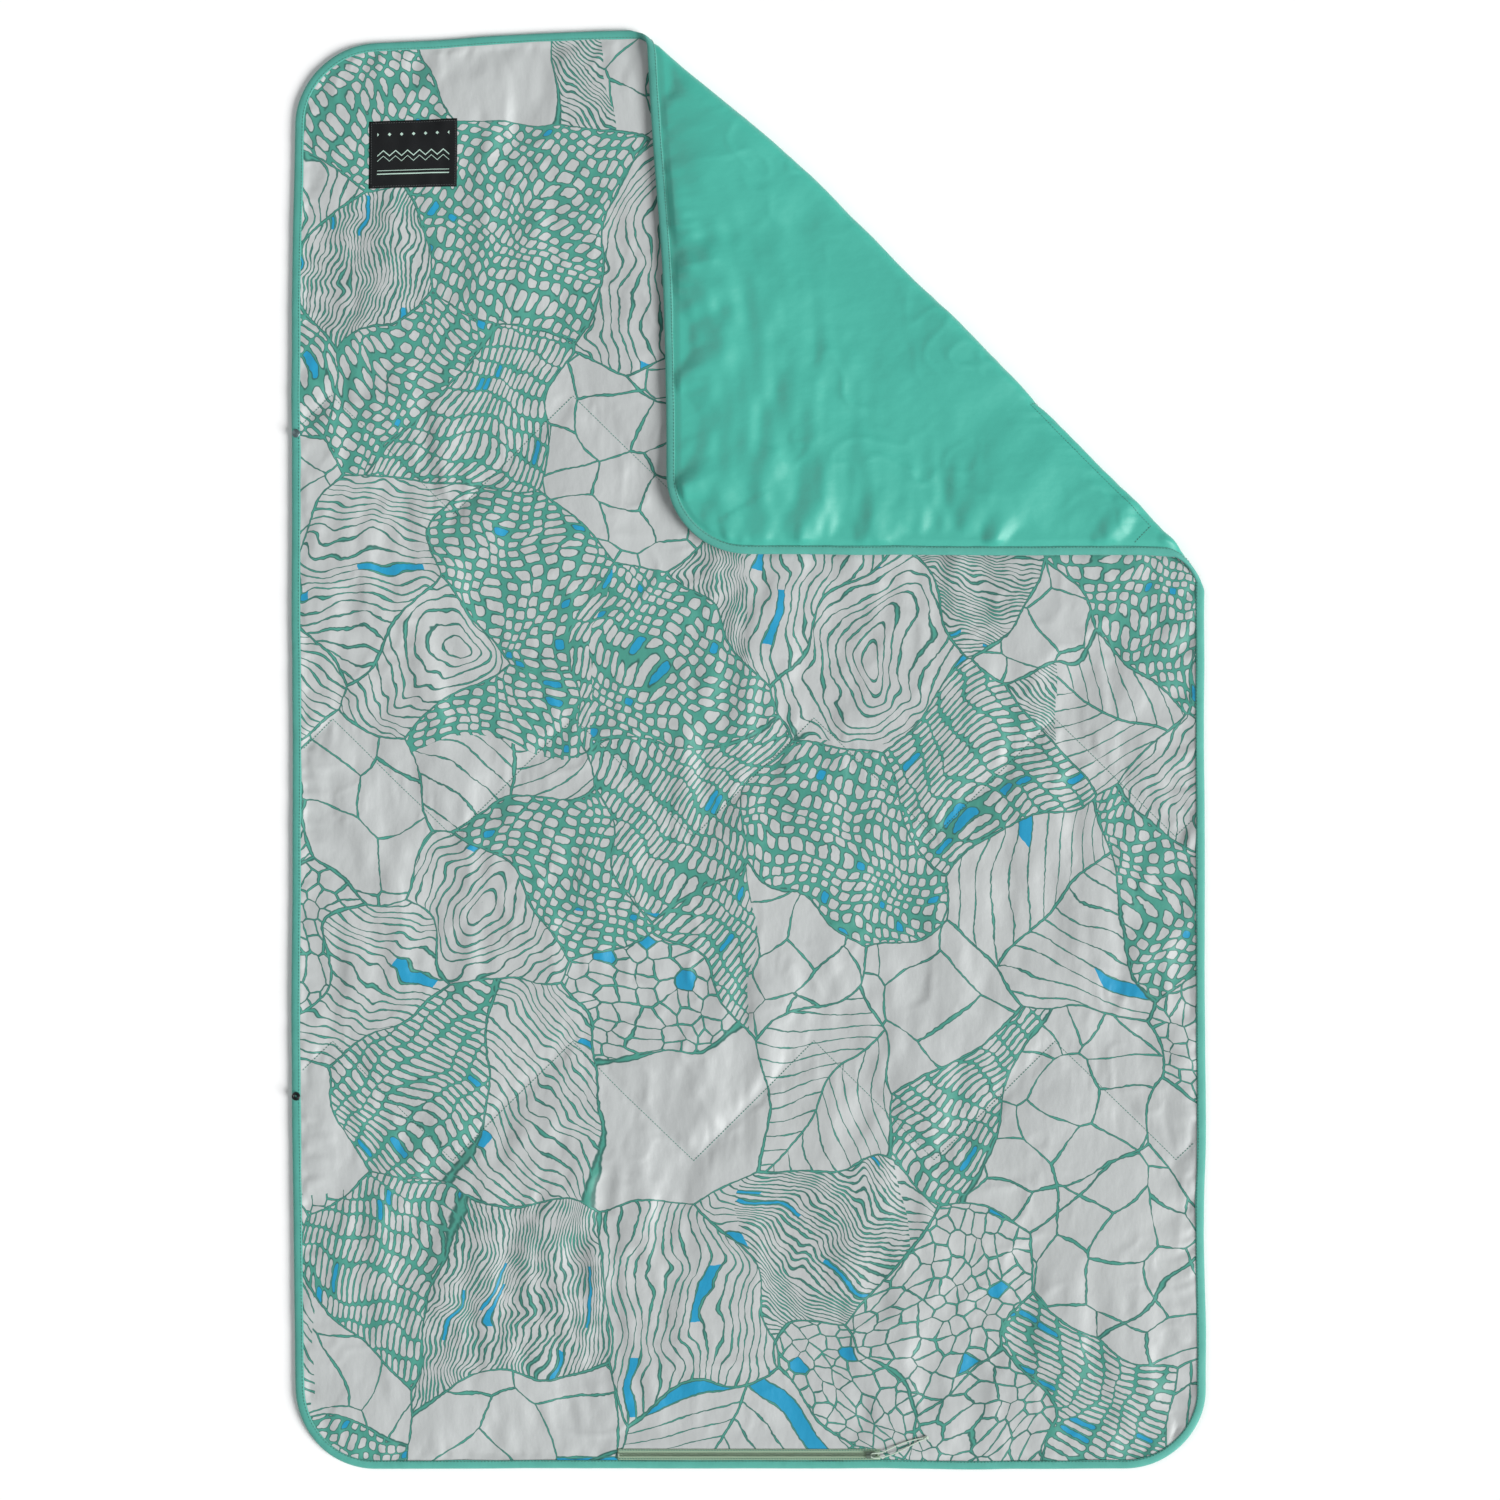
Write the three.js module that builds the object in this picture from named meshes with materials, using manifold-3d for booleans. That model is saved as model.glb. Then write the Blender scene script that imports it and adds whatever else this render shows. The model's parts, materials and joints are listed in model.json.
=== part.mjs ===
// Camp blanket: a quilted one-person blanket with its top right corner folded over.
// Millimetres, +Z up. The blanket lies flat with its printed face up, +Y towards the labelled edge.
// Origin: the middle of its outline, on the surface it lies on.

import * as THREE from 'three';
import { mergeVertices } from 'three/addons/utils/BufferGeometryUtils.js';
import Module from 'manifold-3d';

const wasm = await Module();
wasm.setup();

// Outline and edge binding
const WIDTH = 1136;
const LENGTH = 1790;
const CORNER_RADIUS = 100;
const CORNER_STEPS = 10;
const BINDING_WIDTH = 11;
const BINDING_BOTTOM = 3.3;
const BINDING_THICKNESS = 4.4;
const GAP = 0.3;

// Layers, from the surface up
const SHELL_THICKNESS = 1;
const FILL_THICKNESS = 8.4;
const THREAD_WIDTH = 0.8;
const THREAD_HEIGHT = 0.6;

// Corner fold: a line where x + y is constant, and the line that the folded corner mirrors in
const FOLD_HINGE_SUM = 788;
const FOLD_MIRROR_SUM = 801;
const FOLD_CLEARANCE = 5.5;
const FOLD_LAYER_GAP = 1.4;

// Zigzag quilting
const QUILT_PERIOD = 300;
const QUILT_HALF_HEIGHT = 74;
const QUILT_VALLEY_X = -368;
const QUILT_ROW_Y = [367, -35, -437];

// Label
const LABEL = { x: -420, y: 750, width: 111, height: 87, thickness: 0.8 };

// Hem zip and its pocket
const ZIP_LENGTH = 328;
const ZIP_TAPE_WIDTH = 14;
const ZIP_TAPE_THICKNESS = 0.6;
const ZIP_SLIT = 1.2;
const COIL_LENGTH = 320;
const COIL_SIZE = 1.6;
const ZIP_STOP_LENGTH = 1.5;
const POCKET = { width: 340, depth: 214, thickness: 1 };
const POCKET_RECESS_DEPTH = 1.5;

// Zip slider, with the arch that its cord passes under
const SLIDER = { x: 152, length: 11, width: 7.6, topPlate: 1, lowPlate: 0.7, post: 2 };
const ARCH = { length: 7, width: 1.2, leg: 1.2, opening: 2.6, roof: 1 };

// Pull cord and the knot that ends it, with their places measured from the slider's middle
const CORD_DIAMETER = 1.6;
const CORD_SIDES = 8;
const CORD_STEPS = 60;
const KNOT = { x: 66, y: 21, length: 6, radius: 1.9, sides: 12, turn: 20 };

// Snap fasteners, both on the left edge
const SNAP_INSET = 5.6;
const SNAP_CAP_Y = 393;
const RING_SNAP_Y = -431;
const SNAP_HOLE_RADIUS = 2.4;
const SOCKET_HEIGHT = 2.4;
const EYELET_FLANGE = 1;
const SNAP_SIDES = 24;

// Heights that follow from the layers
const fillBottom = SHELL_THICKNESS + GAP;
const fillTop = fillBottom + FILL_THICKNESS;
const faceBottom = fillTop + GAP;
const faceTop = faceBottom + SHELL_THICKNESS;
const foldHeight = faceTop + FOLD_LAYER_GAP / 2;
const bindingTop = BINDING_BOTTOM + BINDING_THICKNESS;
const snapHeight = bindingTop + GAP + THREAD_HEIGHT + GAP;
const bodyInset = BINDING_WIDTH + GAP;
const foldCutSum = FOLD_HINGE_SUM - FOLD_CLEARANCE * Math.SQRT2;
const cornerCutSum = 2 * FOLD_MIRROR_SUM - foldCutSum;
const hemY = -LENGTH / 2 + bodyInset;
const zipY = hemY + ZIP_TAPE_WIDTH / 2;
const tapeBottom = faceTop - GAP - ZIP_TAPE_THICKNESS;
const tapeTop = tapeBottom + ZIP_TAPE_THICKNESS;
const coilBottom = tapeTop + GAP;
const coilTop = coilBottom + COIL_SIZE;
const cordRadius = CORD_DIAMETER / 2;
const archHeight = coilTop + GAP + SLIDER.topPlate + GAP + cordRadius;
const overCoils = coilTop + GAP + cordRadius;
const onFace = faceTop + GAP + cordRadius;

// The cord's route out from the arch to the knot, and the way back
const CORD_OUT = [
  [0, 0, archHeight],
  [0.35, 1.2, archHeight],
  [1.4, 2.3, archHeight],
  [3.6, 2.8, archHeight],
  [8, 3.1, archHeight - 0.4],
  [15, 4.2, overCoils],
  [24, 8.4, onFace + 0.8],
  [40, 15.2, onFace],
  [54, 19.4, onFace],
];
const CORD_BACK = [
  [54, 14.4, onFace],
  [40, 7.2, onFace + 0.7],
  [30, 2.8, overCoils],
  [24, 0.6, overCoils],
  [15, -2, overCoils + 0.2],
  [8, -3, archHeight - 0.4],
  [3.6, -2.8, archHeight],
  [1.4, -2.3, archHeight],
  [0.35, -1.2, archHeight],
  [0, 0, archHeight],
];

const materials = {
  printedFace: material(0xc4c9c8, 0.6),
  backFabric: material(0x52bba5, 0.5),
  fill: material(0xf2f2ee, 0.95),
  binding: material(0x4fa896, 0.65),
  thread: material(0x3f8f7e, 0.7),
  label: material(0x1e2224, 0.8),
  labelThread: material(0x2b3032, 0.8),
  pocket: material(0xb9bfbe, 0.7),
  zipTape: material(0x93ac93, 0.85),
  zipCoil: material(0xa3b79f, 0.45),
  slider: material(0x6f7f73, 0.4, 0.8),
  cord: material(0xc3d3c4, 0.75),
  snapCap: material(0x6c8080, 0.4, 0.85),
  snapRing: material(0x16181a, 0.45, 0.3),
};

const blanket = new THREE.Group();

function material(color, roughness, metalness = 0) {
  return new THREE.MeshStandardMaterial({ color, roughness, metalness });
}

function add(name, geometry, finish, x = 0, y = 0, z = 0) {
  const mesh = new THREE.Mesh(geometry, finish);
  mesh.name = name;
  mesh.position.set(x, y, z);
  blanket.add(mesh);
  return mesh;
}

function slab(points, thickness, holes = []) {
  const shape = new THREE.Shape(points);
  shape.holes.push(...holes);
  return new THREE.ExtrudeGeometry(shape, { depth: thickness, bevelEnabled: false, curveSegments: 12 });
}

function bar(xLow, xHigh, yLow, yHigh, thickness) {
  const corners = [[xLow, yLow], [xHigh, yLow], [xHigh, yHigh], [xLow, yHigh]];
  return slab(corners.map(([x, y]) => new THREE.Vector2(x, y)), thickness);
}

function lathe(profile, sides) {
  const points = profile.map(([radius, height]) => new THREE.Vector2(radius, height));
  return new THREE.LatheGeometry(points, sides).rotateX(Math.PI / 2);
}

// A closed geometry as a manifold solid, and back again
function toSolid(geometry) {
  const bare = geometry.index ? geometry.toNonIndexed() : geometry.clone();
  bare.deleteAttribute('normal');
  bare.deleteAttribute('uv');
  const merged = mergeVertices(bare, 1e-4);
  const vertProperties = new Float32Array(merged.attributes.position.array);
  const triVerts = new Uint32Array(merged.index.array);
  return new wasm.Manifold(new wasm.Mesh({ numProp: 3, vertProperties, triVerts }));
}

function toGeometry(solid) {
  const { vertProperties, triVerts } = solid.getMesh();
  const geometry = new THREE.BufferGeometry();
  geometry.setAttribute('position', new THREE.BufferAttribute(new Float32Array(vertProperties), 3));
  geometry.setIndex(new THREE.BufferAttribute(new Uint32Array(triVerts), 1));
  return geometry;
}

function box(xLow, xHigh, yLow, yHigh, zLow, zHigh) {
  return toSolid(bar(xLow, xHigh, yLow, yHigh, zHigh - zLow).translate(0, 0, zLow));
}

// Points of a rounded corner, turning anticlockwise from the angle given in quarter turns
function cornerArc(signX, signY, quarter, inset) {
  const radius = CORNER_RADIUS - inset;
  const centreX = signX * (WIDTH / 2 - CORNER_RADIUS);
  const centreY = signY * (LENGTH / 2 - CORNER_RADIUS);
  const points = [];
  for (let step = 0; step <= CORNER_STEPS; step += 1) {
    const angle = (quarter + step / CORNER_STEPS) * Math.PI / 2;
    points.push(new THREE.Vector2(centreX + radius * Math.cos(angle), centreY + radius * Math.sin(angle)));
  }
  return points;
}

// Edge of the part that lies flat: from the fold on the top edge, round three corners, to the fold
// on the right edge
function flatEdge(inset) {
  const top = LENGTH / 2 - inset;
  const right = WIDTH / 2 - inset;
  return [
    new THREE.Vector2(foldCutSum - top, top),
    ...cornerArc(-1, 1, 1, inset),
    ...cornerArc(-1, -1, 2, inset),
    ...cornerArc(1, -1, 3, inset),
    new THREE.Vector2(right, foldCutSum - right),
  ];
}

// Edge of the folded corner, mirrored in the fold from where it would lie flat
function cornerEdge(inset) {
  const top = LENGTH / 2 - inset;
  const right = WIDTH / 2 - inset;
  const flat = [
    new THREE.Vector2(right, cornerCutSum - right),
    ...cornerArc(1, 1, 0, inset),
    new THREE.Vector2(cornerCutSum - top, top),
  ];
  return flat.map(mirrorInFold).reverse();
}

function mirrorInFold(point) {
  return new THREE.Vector2(FOLD_MIRROR_SUM - point.y, FOLD_MIRROR_SUM - point.x);
}

// The height that a layer of the folded corner has, from the height of the same layer lying flat
function foldedHeight(bottom, thickness) {
  return 2 * foldHeight - bottom - thickness;
}

function strip(edge, outerInset, innerInset) {
  return [...edge(outerInset), ...edge(innerInset).reverse()];
}

function addShells() {
  const zipNotch = [
    new THREE.Vector2(-ZIP_LENGTH / 2 - GAP, hemY),
    new THREE.Vector2(-ZIP_LENGTH / 2 - GAP, hemY + ZIP_TAPE_WIDTH + GAP),
    new THREE.Vector2(ZIP_LENGTH / 2 + GAP, hemY + ZIP_TAPE_WIDTH + GAP),
    new THREE.Vector2(ZIP_LENGTH / 2 + GAP, hemY),
  ];
  const edge = flatEdge(bodyInset);
  const lastLeftPoint = 1 + 2 * (CORNER_STEPS + 1);
  const notched = [...edge.slice(0, lastLeftPoint), ...zipNotch, ...edge.slice(lastLeftPoint)];
  add('back_shell', slab(edge, SHELL_THICKNESS), materials.backFabric);
  add('face_shell', slab(notched, SHELL_THICKNESS), materials.printedFace, 0, 0, faceBottom);

  const corner = cornerEdge(bodyInset);
  const backHeight = foldedHeight(0, SHELL_THICKNESS);
  const faceHeight = foldedHeight(faceBottom, SHELL_THICKNESS);
  add('corner_back_shell', slab(corner, SHELL_THICKNESS), materials.backFabric, 0, 0, backHeight);
  add('corner_face_shell', slab(corner, SHELL_THICKNESS), materials.printedFace, 0, 0, faceHeight);
}

// The fill is pressed down where the pocket and the underside of the zip slider lie in it
function addFill() {
  const flat = toSolid(slab(flatEdge(bodyInset), FILL_THICKNESS).translate(0, 0, fillBottom));
  const halfWidth = POCKET.width / 2 + GAP;
  const recessTop = zipY + ZIP_TAPE_WIDTH / 2 + POCKET.depth + 2 * GAP;
  const recessBottom = fillTop - POCKET_RECESS_DEPTH;
  const recess = box(-halfWidth, halfWidth, -LENGTH / 2, recessTop, recessBottom, fillTop + 1);
  add('fill_batting', toGeometry(flat.subtract(recess)), materials.fill);

  const height = foldedHeight(fillBottom, FILL_THICKNESS);
  add('corner_fill_batting', slab(cornerEdge(bodyInset), FILL_THICKNESS), materials.fill, 0, 0, height);
}

function addBinding() {
  const holes = [SNAP_CAP_Y, RING_SNAP_Y].map((y) => {
    const hole = new THREE.Path();
    hole.absarc(-WIDTH / 2 + SNAP_INSET, y, SNAP_HOLE_RADIUS, 0, 2 * Math.PI, true);
    return hole;
  });
  const stitchInset = BINDING_WIDTH - 2 * THREAD_WIDTH;
  const stitchHeight = bindingTop + GAP;
  const tape = slab(strip(flatEdge, 0, BINDING_WIDTH), BINDING_THICKNESS, holes);
  const stitches = slab(strip(flatEdge, stitchInset, stitchInset + THREAD_WIDTH), THREAD_HEIGHT);
  add('binding_tape', tape, materials.binding, 0, 0, BINDING_BOTTOM);
  add('binding_stitching', stitches, materials.thread, 0, 0, stitchHeight);

  const cornerTape = slab(strip(cornerEdge, 0, BINDING_WIDTH), BINDING_THICKNESS);
  const cornerStitches = slab(strip(cornerEdge, stitchInset, stitchInset + THREAD_WIDTH), THREAD_HEIGHT);
  const cornerTapeHeight = foldedHeight(BINDING_BOTTOM, BINDING_THICKNESS);
  const cornerStitchHeight = cornerTapeHeight + BINDING_THICKNESS + GAP;
  add('corner_binding_tape', cornerTape, materials.binding, 0, 0, cornerTapeHeight);
  add('corner_binding_stitching', cornerStitches, materials.thread, 0, 0, cornerStitchHeight);
}

// Height of a zigzag row above its middle line at x
function zigzag(x) {
  const phase = (x - QUILT_VALLEY_X) / QUILT_PERIOD;
  const fromValley = Math.abs(phase - Math.round(phase));
  return QUILT_HALF_HEIGHT * (4 * fromValley - 1);
}

// Points of a zigzag row from one x to another, with one point at each turn between them
function zigzagPoints(xLow, xHigh, rowY) {
  const turn = QUILT_PERIOD / 2;
  const places = [xLow];
  for (let x = QUILT_VALLEY_X - QUILT_PERIOD; x < xHigh; x += turn) {
    if (x > xLow) places.push(x);
  }
  places.push(xHigh);
  return places.map((x) => new THREE.Vector2(x, rowY + zigzag(x)));
}

function threadRow(points, acrossX, acrossY) {
  const offset = new THREE.Vector2(acrossX, acrossY).multiplyScalar(THREAD_WIDTH / Math.SQRT2);
  const near = points.map((point) => point.clone().sub(offset));
  const far = points.map((point) => point.clone().add(offset));
  return slab([...near, ...far.reverse()], THREAD_HEIGHT);
}

function addQuilting() {
  const end = WIDTH / 2 - bodyInset - THREAD_WIDTH;
  const [firstRow, ...otherRows] = QUILT_ROW_Y;
  const peakX = QUILT_VALLEY_X + 2.5 * QUILT_PERIOD;
  const slope = 4 * QUILT_HALF_HEIGHT / QUILT_PERIOD;
  const beyondFold = peakX + firstRow + QUILT_HALF_HEIGHT - foldCutSum;
  const foldX = peakX - beyondFold / (1 + slope) - THREAD_WIDTH;
  const height = faceTop + GAP;
  const first = threadRow(zigzagPoints(-end, foldX, firstRow), 0, 1);
  add('quilt_stitching_1', first, materials.thread, 0, 0, height);
  otherRows.forEach((rowY, index) => {
    const row = threadRow(zigzagPoints(-end, end, rowY), 0, 1);
    add(`quilt_stitching_${index + 2}`, row, materials.thread, 0, 0, height);
  });

  const cornerStart = peakX + 2 * THREAD_WIDTH;
  const onCorner = zigzagPoints(cornerStart, end, firstRow).map(mirrorInFold).reverse();
  const cornerHeight = foldedHeight(0, 0) + GAP;
  add('corner_quilt_stitching', threadRow(onCorner, -1, 0), materials.thread, 0, 0, cornerHeight);
}

function rectangle(halfWidth, halfHeight) {
  const corners = [[-1, -1], [1, -1], [1, 1], [-1, 1]];
  return corners.map(([x, y]) => new THREE.Vector2(x * halfWidth, y * halfHeight));
}

function addLabel() {
  const { x, y, width, height, thickness } = LABEL;
  const bottom = faceTop + GAP;
  const patch = slab(rectangle(width / 2, height / 2), thickness);
  add('label_patch', patch, materials.label, x, y, bottom);

  const stitchInset = 2;
  const outer = rectangle(width / 2 - stitchInset, height / 2 - stitchInset);
  const innerInset = stitchInset + THREAD_WIDTH;
  const inner = new THREE.Path(rectangle(width / 2 - innerInset, height / 2 - innerInset));
  const stitches = slab(outer, THREAD_HEIGHT, [inner]);
  add('label_stitching', stitches, materials.labelThread, x, y, bottom + thickness + GAP);
}

function addZip() {
  const halfLength = ZIP_LENGTH / 2;
  const halfCoil = COIL_LENGTH / 2;
  for (const [side, sign] of [['upper', 1], ['lower', -1]]) {
    const edges = [zipY + sign * ZIP_SLIT / 2, zipY + sign * (ZIP_TAPE_WIDTH - GAP) / 2];
    const tape = bar(-halfLength, halfLength, Math.min(...edges), Math.max(...edges), ZIP_TAPE_THICKNESS);
    add(`zip_tape_${side}`, tape, materials.zipTape, 0, 0, tapeBottom);

    const coilEdges = [zipY + sign * ZIP_SLIT / 2, zipY + sign * (ZIP_SLIT / 2 + COIL_SIZE)];
    const coil = bar(-halfCoil, halfCoil, Math.min(...coilEdges), Math.max(...coilEdges), COIL_SIZE);
    add(`zip_coil_${side}`, coil, materials.zipCoil, 0, 0, coilBottom);

    const seamY = zipY + sign * (ZIP_TAPE_WIDTH / 2 - 2 * THREAD_WIDTH);
    const seamHalf = THREAD_WIDTH / 2;
    const seam = bar(-halfLength, halfLength, seamY - seamHalf, seamY + seamHalf, THREAD_HEIGHT);
    add(`zip_stitching_${side}`, seam, materials.thread, 0, 0, coilBottom);
  }
  for (const [side, sign] of [['left', -1], ['right', 1]]) {
    const ends = [sign * (halfCoil + GAP), sign * (halfCoil + GAP + ZIP_STOP_LENGTH)];
    const halfWidth = ZIP_SLIT / 2 + COIL_SIZE;
    const [low, high] = [Math.min(...ends), Math.max(...ends)];
    const stop = bar(low, high, zipY - halfWidth, zipY + halfWidth, COIL_SIZE);
    add(`zip_stop_${side}`, stop, materials.zipTape, 0, 0, coilBottom);
  }
}

function addPocket() {
  const mouthY = zipY + ZIP_TAPE_WIDTH / 2 + GAP;
  const halfWidth = POCKET.width / 2;
  const bag = bar(-halfWidth, halfWidth, mouthY, mouthY + POCKET.depth, POCKET.thickness);
  add('pocket_bag', bag, materials.pocket, 0, 0, fillTop - POCKET_RECESS_DEPTH + GAP);
}

// Two plates joined by a post at the front, with flanges that keep the coils in, and an arch on top
function addSlider() {
  const halfLength = SLIDER.length / 2;
  const halfWidth = SLIDER.width / 2;
  const halfPost = ZIP_SLIT / 2 - GAP;
  const topBottom = coilTop + GAP;
  const topTop = topBottom + SLIDER.topPlate;
  const lowTop = tapeBottom - GAP;
  const lowBottom = lowTop - SLIDER.lowPlate;
  const flangeInner = ZIP_SLIT / 2 + COIL_SIZE + GAP;
  const archHalf = ARCH.length / 2;
  const roofBottom = topTop + ARCH.opening;
  const archSides = [[-archHalf, ARCH.leg - archHalf], [archHalf - ARCH.leg, archHalf]];

  let body = box(-halfLength, halfLength, -halfWidth, halfWidth, topBottom, topTop);
  body = body.add(box(-halfLength, halfLength, -halfWidth, halfWidth, lowBottom, lowTop));
  body = body.add(box(halfLength - SLIDER.post, halfLength, -halfPost, halfPost, lowBottom, topTop));
  for (const sign of [-1, 1]) {
    const edges = [sign * flangeInner, sign * halfWidth];
    const low = Math.min(...edges);
    const high = Math.max(...edges);
    body = body.add(box(-halfLength, halfLength, low, high, coilBottom, topTop));
  }
  for (const [low, high] of archSides) {
    body = body.add(box(low, high, -ARCH.width / 2, ARCH.width / 2, topBottom, roofBottom + ARCH.roof));
  }
  const roof = box(-archHalf, archHalf, -ARCH.width / 2, ARCH.width / 2, roofBottom, roofBottom + ARCH.roof);
  body = body.add(roof);
  add('zip_slider', toGeometry(body), materials.slider, SLIDER.x, zipY, 0);
}

// The cord passes under the slider's arch, and both of its ends go into one knot
function addPullCord() {
  const heading = THREE.MathUtils.degToRad(KNOT.turn);
  const ahead = new THREE.Vector3(Math.cos(heading), Math.sin(heading), 0);
  const aside = new THREE.Vector3(-ahead.y, ahead.x, 0);
  const knotStart = new THREE.Vector3(SLIDER.x + KNOT.x, zipY + KNOT.y, onFace);
  const knotSide = (sign) => knotStart.clone()
    .addScaledVector(aside, sign * (cordRadius + GAP / 2))
    .addScaledVector(ahead, -GAP);
  const place = ([x, y, z]) => new THREE.Vector3(SLIDER.x + x, zipY + y, z);
  const wayOut = CORD_OUT.map(place);
  const wayBack = CORD_BACK.map(place).slice(0, -1);
  const route = [knotSide(1), ...wayOut.reverse(), ...wayBack.reverse(), knotSide(-1)];
  const path = new THREE.CatmullRomCurve3(route, false, 'centripetal');
  const section = new THREE.Shape();
  for (let corner = 0; corner < CORD_SIDES; corner += 1) {
    const angle = corner / CORD_SIDES * 2 * Math.PI;
    const x = cordRadius * Math.cos(angle);
    const y = cordRadius * Math.sin(angle);
    if (corner === 0) section.moveTo(x, y);
    else section.lineTo(x, y);
  }
  const options = { steps: CORD_STEPS, bevelEnabled: false, extrudePath: path };
  add('pull_cord', new THREE.ExtrudeGeometry(section, options), materials.cord);

  const knot = lathe([
    [0, 0],
    [KNOT.radius * 0.9, 0],
    [KNOT.radius, KNOT.length * 0.3],
    [KNOT.radius, KNOT.length * 0.7],
    [KNOT.radius * 0.6, KNOT.length],
    [0, KNOT.length],
  ], KNOT.sides).rotateY(Math.PI / 2);
  const knotHeight = faceTop + GAP + KNOT.radius;
  const mesh = add('pull_cord_knot', knot, materials.cord, knotStart.x, knotStart.y, knotHeight);
  mesh.rotation.z = heading;
}

// A cap with its shank on the face, and the spring socket below the binding that the shank holds
function addSnapCap() {
  const x = -WIDTH / 2 + SNAP_INSET;
  const cap = lathe([
    [0, -6],
    [1.5, -6],
    [1.5, 0],
    [4.9, 0],
    [5.25, 0.5],
    [5, 1.2],
    [3.6, 1.9],
    [0, 2.2],
  ], SNAP_SIDES);
  add('snap_cap', cap, materials.snapCap, x, SNAP_CAP_Y, snapHeight);

  const socket = lathe([
    [1.8, SOCKET_HEIGHT],
    [1.8, 1.6],
    [3, 1.4],
    [3, 0],
    [4.6, 0],
    [5, 0.6],
    [5, 1.9],
    [4.4, SOCKET_HEIGHT],
    [1.8, SOCKET_HEIGHT],
  ], SNAP_SIDES);
  add('snap_socket', socket, materials.snapCap, x, SNAP_CAP_Y, BINDING_BOTTOM - GAP - SOCKET_HEIGHT);
}

// An open black ring on the face, with the eyelet that holds it from below the binding
function addRingSnap() {
  const x = -WIDTH / 2 + SNAP_INSET;
  const ring = lathe([
    [2.2, 0],
    [5, 0],
    [5.4, 0.6],
    [5.2, 1.5],
    [4, 2],
    [2.6, 1.7],
    [2.2, 1],
    [2.2, 0],
  ], SNAP_SIDES);
  add('ring_snap_ring', ring, materials.snapRing, x, RING_SNAP_Y, snapHeight);

  const eyelet = lathe([
    [1.2, 0],
    [4.8, 0],
    [4.8, 0.8],
    [1.9, EYELET_FLANGE],
    [1.9, 6.6],
    [1.2, 6.6],
    [1.2, 0],
  ], SNAP_SIDES);
  add('ring_snap_eyelet', eyelet, materials.snapRing, x, RING_SNAP_Y, BINDING_BOTTOM - GAP - EYELET_FLANGE);
}

addShells();
addFill();
addBinding();
addQuilting();
addLabel();
addZip();
addPocket();
addSlider();
addPullCord();
addSnapCap();
addRingSnap();

export default blanket;
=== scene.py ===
import json
import math
import bpy
import numpy as np
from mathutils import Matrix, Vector


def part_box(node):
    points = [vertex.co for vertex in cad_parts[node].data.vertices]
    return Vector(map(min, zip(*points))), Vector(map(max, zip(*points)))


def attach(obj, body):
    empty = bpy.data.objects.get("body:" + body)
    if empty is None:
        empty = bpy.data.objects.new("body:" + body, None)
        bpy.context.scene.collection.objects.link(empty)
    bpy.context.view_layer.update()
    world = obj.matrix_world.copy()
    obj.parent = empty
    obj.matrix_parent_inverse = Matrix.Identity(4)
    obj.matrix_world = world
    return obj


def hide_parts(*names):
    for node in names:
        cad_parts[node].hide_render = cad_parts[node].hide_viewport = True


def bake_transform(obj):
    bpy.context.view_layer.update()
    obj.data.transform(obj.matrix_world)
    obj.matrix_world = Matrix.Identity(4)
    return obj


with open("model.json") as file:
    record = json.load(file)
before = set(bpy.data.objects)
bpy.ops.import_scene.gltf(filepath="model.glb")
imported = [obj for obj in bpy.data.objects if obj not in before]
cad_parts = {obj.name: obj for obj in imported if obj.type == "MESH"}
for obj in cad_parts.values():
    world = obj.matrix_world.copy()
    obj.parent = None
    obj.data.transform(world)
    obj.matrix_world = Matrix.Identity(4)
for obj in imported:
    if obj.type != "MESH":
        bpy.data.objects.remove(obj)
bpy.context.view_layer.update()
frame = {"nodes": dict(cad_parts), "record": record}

# Lengths are worked out in millimetres and become metres where a mesh or curve is made.
MM = 0.001


def box_mm(cad_node):
    """Lowest and highest corner of a CAD node, in millimetres."""
    low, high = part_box(cad_node)
    return np.array(low) / MM, np.array(high) / MM


JOINTS = {joint["name"]: joint for joint in frame["record"]["behaviour"]["joints"]}

# The blanket's outline, and the line that its corner folds over on.
HALF_WIDTH, HALF_LENGTH = box_mm("binding_tape")[1][:2]
CORNER_RADIUS = 100.0
BINDING_WIDTH = 11.0
FOLD_HEIGHT = JOINTS["corner_fold"]["pos_m"][2] / MM
HINGE_Q = math.sqrt(2.0) * JOINTS["corner_fold"]["pos_m"][0] / MM
MIRROR_Q = (box_mm("corner_binding_tape")[0][0] + HALF_LENGTH) / math.sqrt(2.0)
BACK_LOW = 0.4
ROLL_START = HINGE_Q - (FOLD_HEIGHT - BACK_LOW)
ROLL_RADIUS = 2.0 * (MIRROR_Q - ROLL_START) / math.pi

# How the blanket lies unevenly: the folded corner slides along its crease, the crease bends towards
# the blanket's middle at its ends, the upper left corner drops and the left side bows.
FLAP_SLIDE = 12.0
UPPER_CREASE_SHIFT = 17.0
LOWER_CREASE_SHIFT = 5.0
CORNER_DROP = 18.0
LEFT_BOW = 6.0

# Face and corner are kept on either side of the fold's middle.
FACE_CEILING = box_mm("face_shell")[1][2] + 0.03

# The zigzag quilting.
QUILT_PERIOD = 300.0
QUILT_VALLEY_X = -368.0
QUILT_HALF_HEIGHT = 74.0
QUILT_ROWS = {}
for row_number in (1, 2, 3):
    row_low, row_high = box_mm(f"quilt_stitching_{row_number}")
    QUILT_ROWS[row_number] = (row_low[1] + row_high[1]) / 2.0
QUILT_SLOPE = 4.0 * QUILT_HALF_HEIGHT / QUILT_PERIOD

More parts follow.
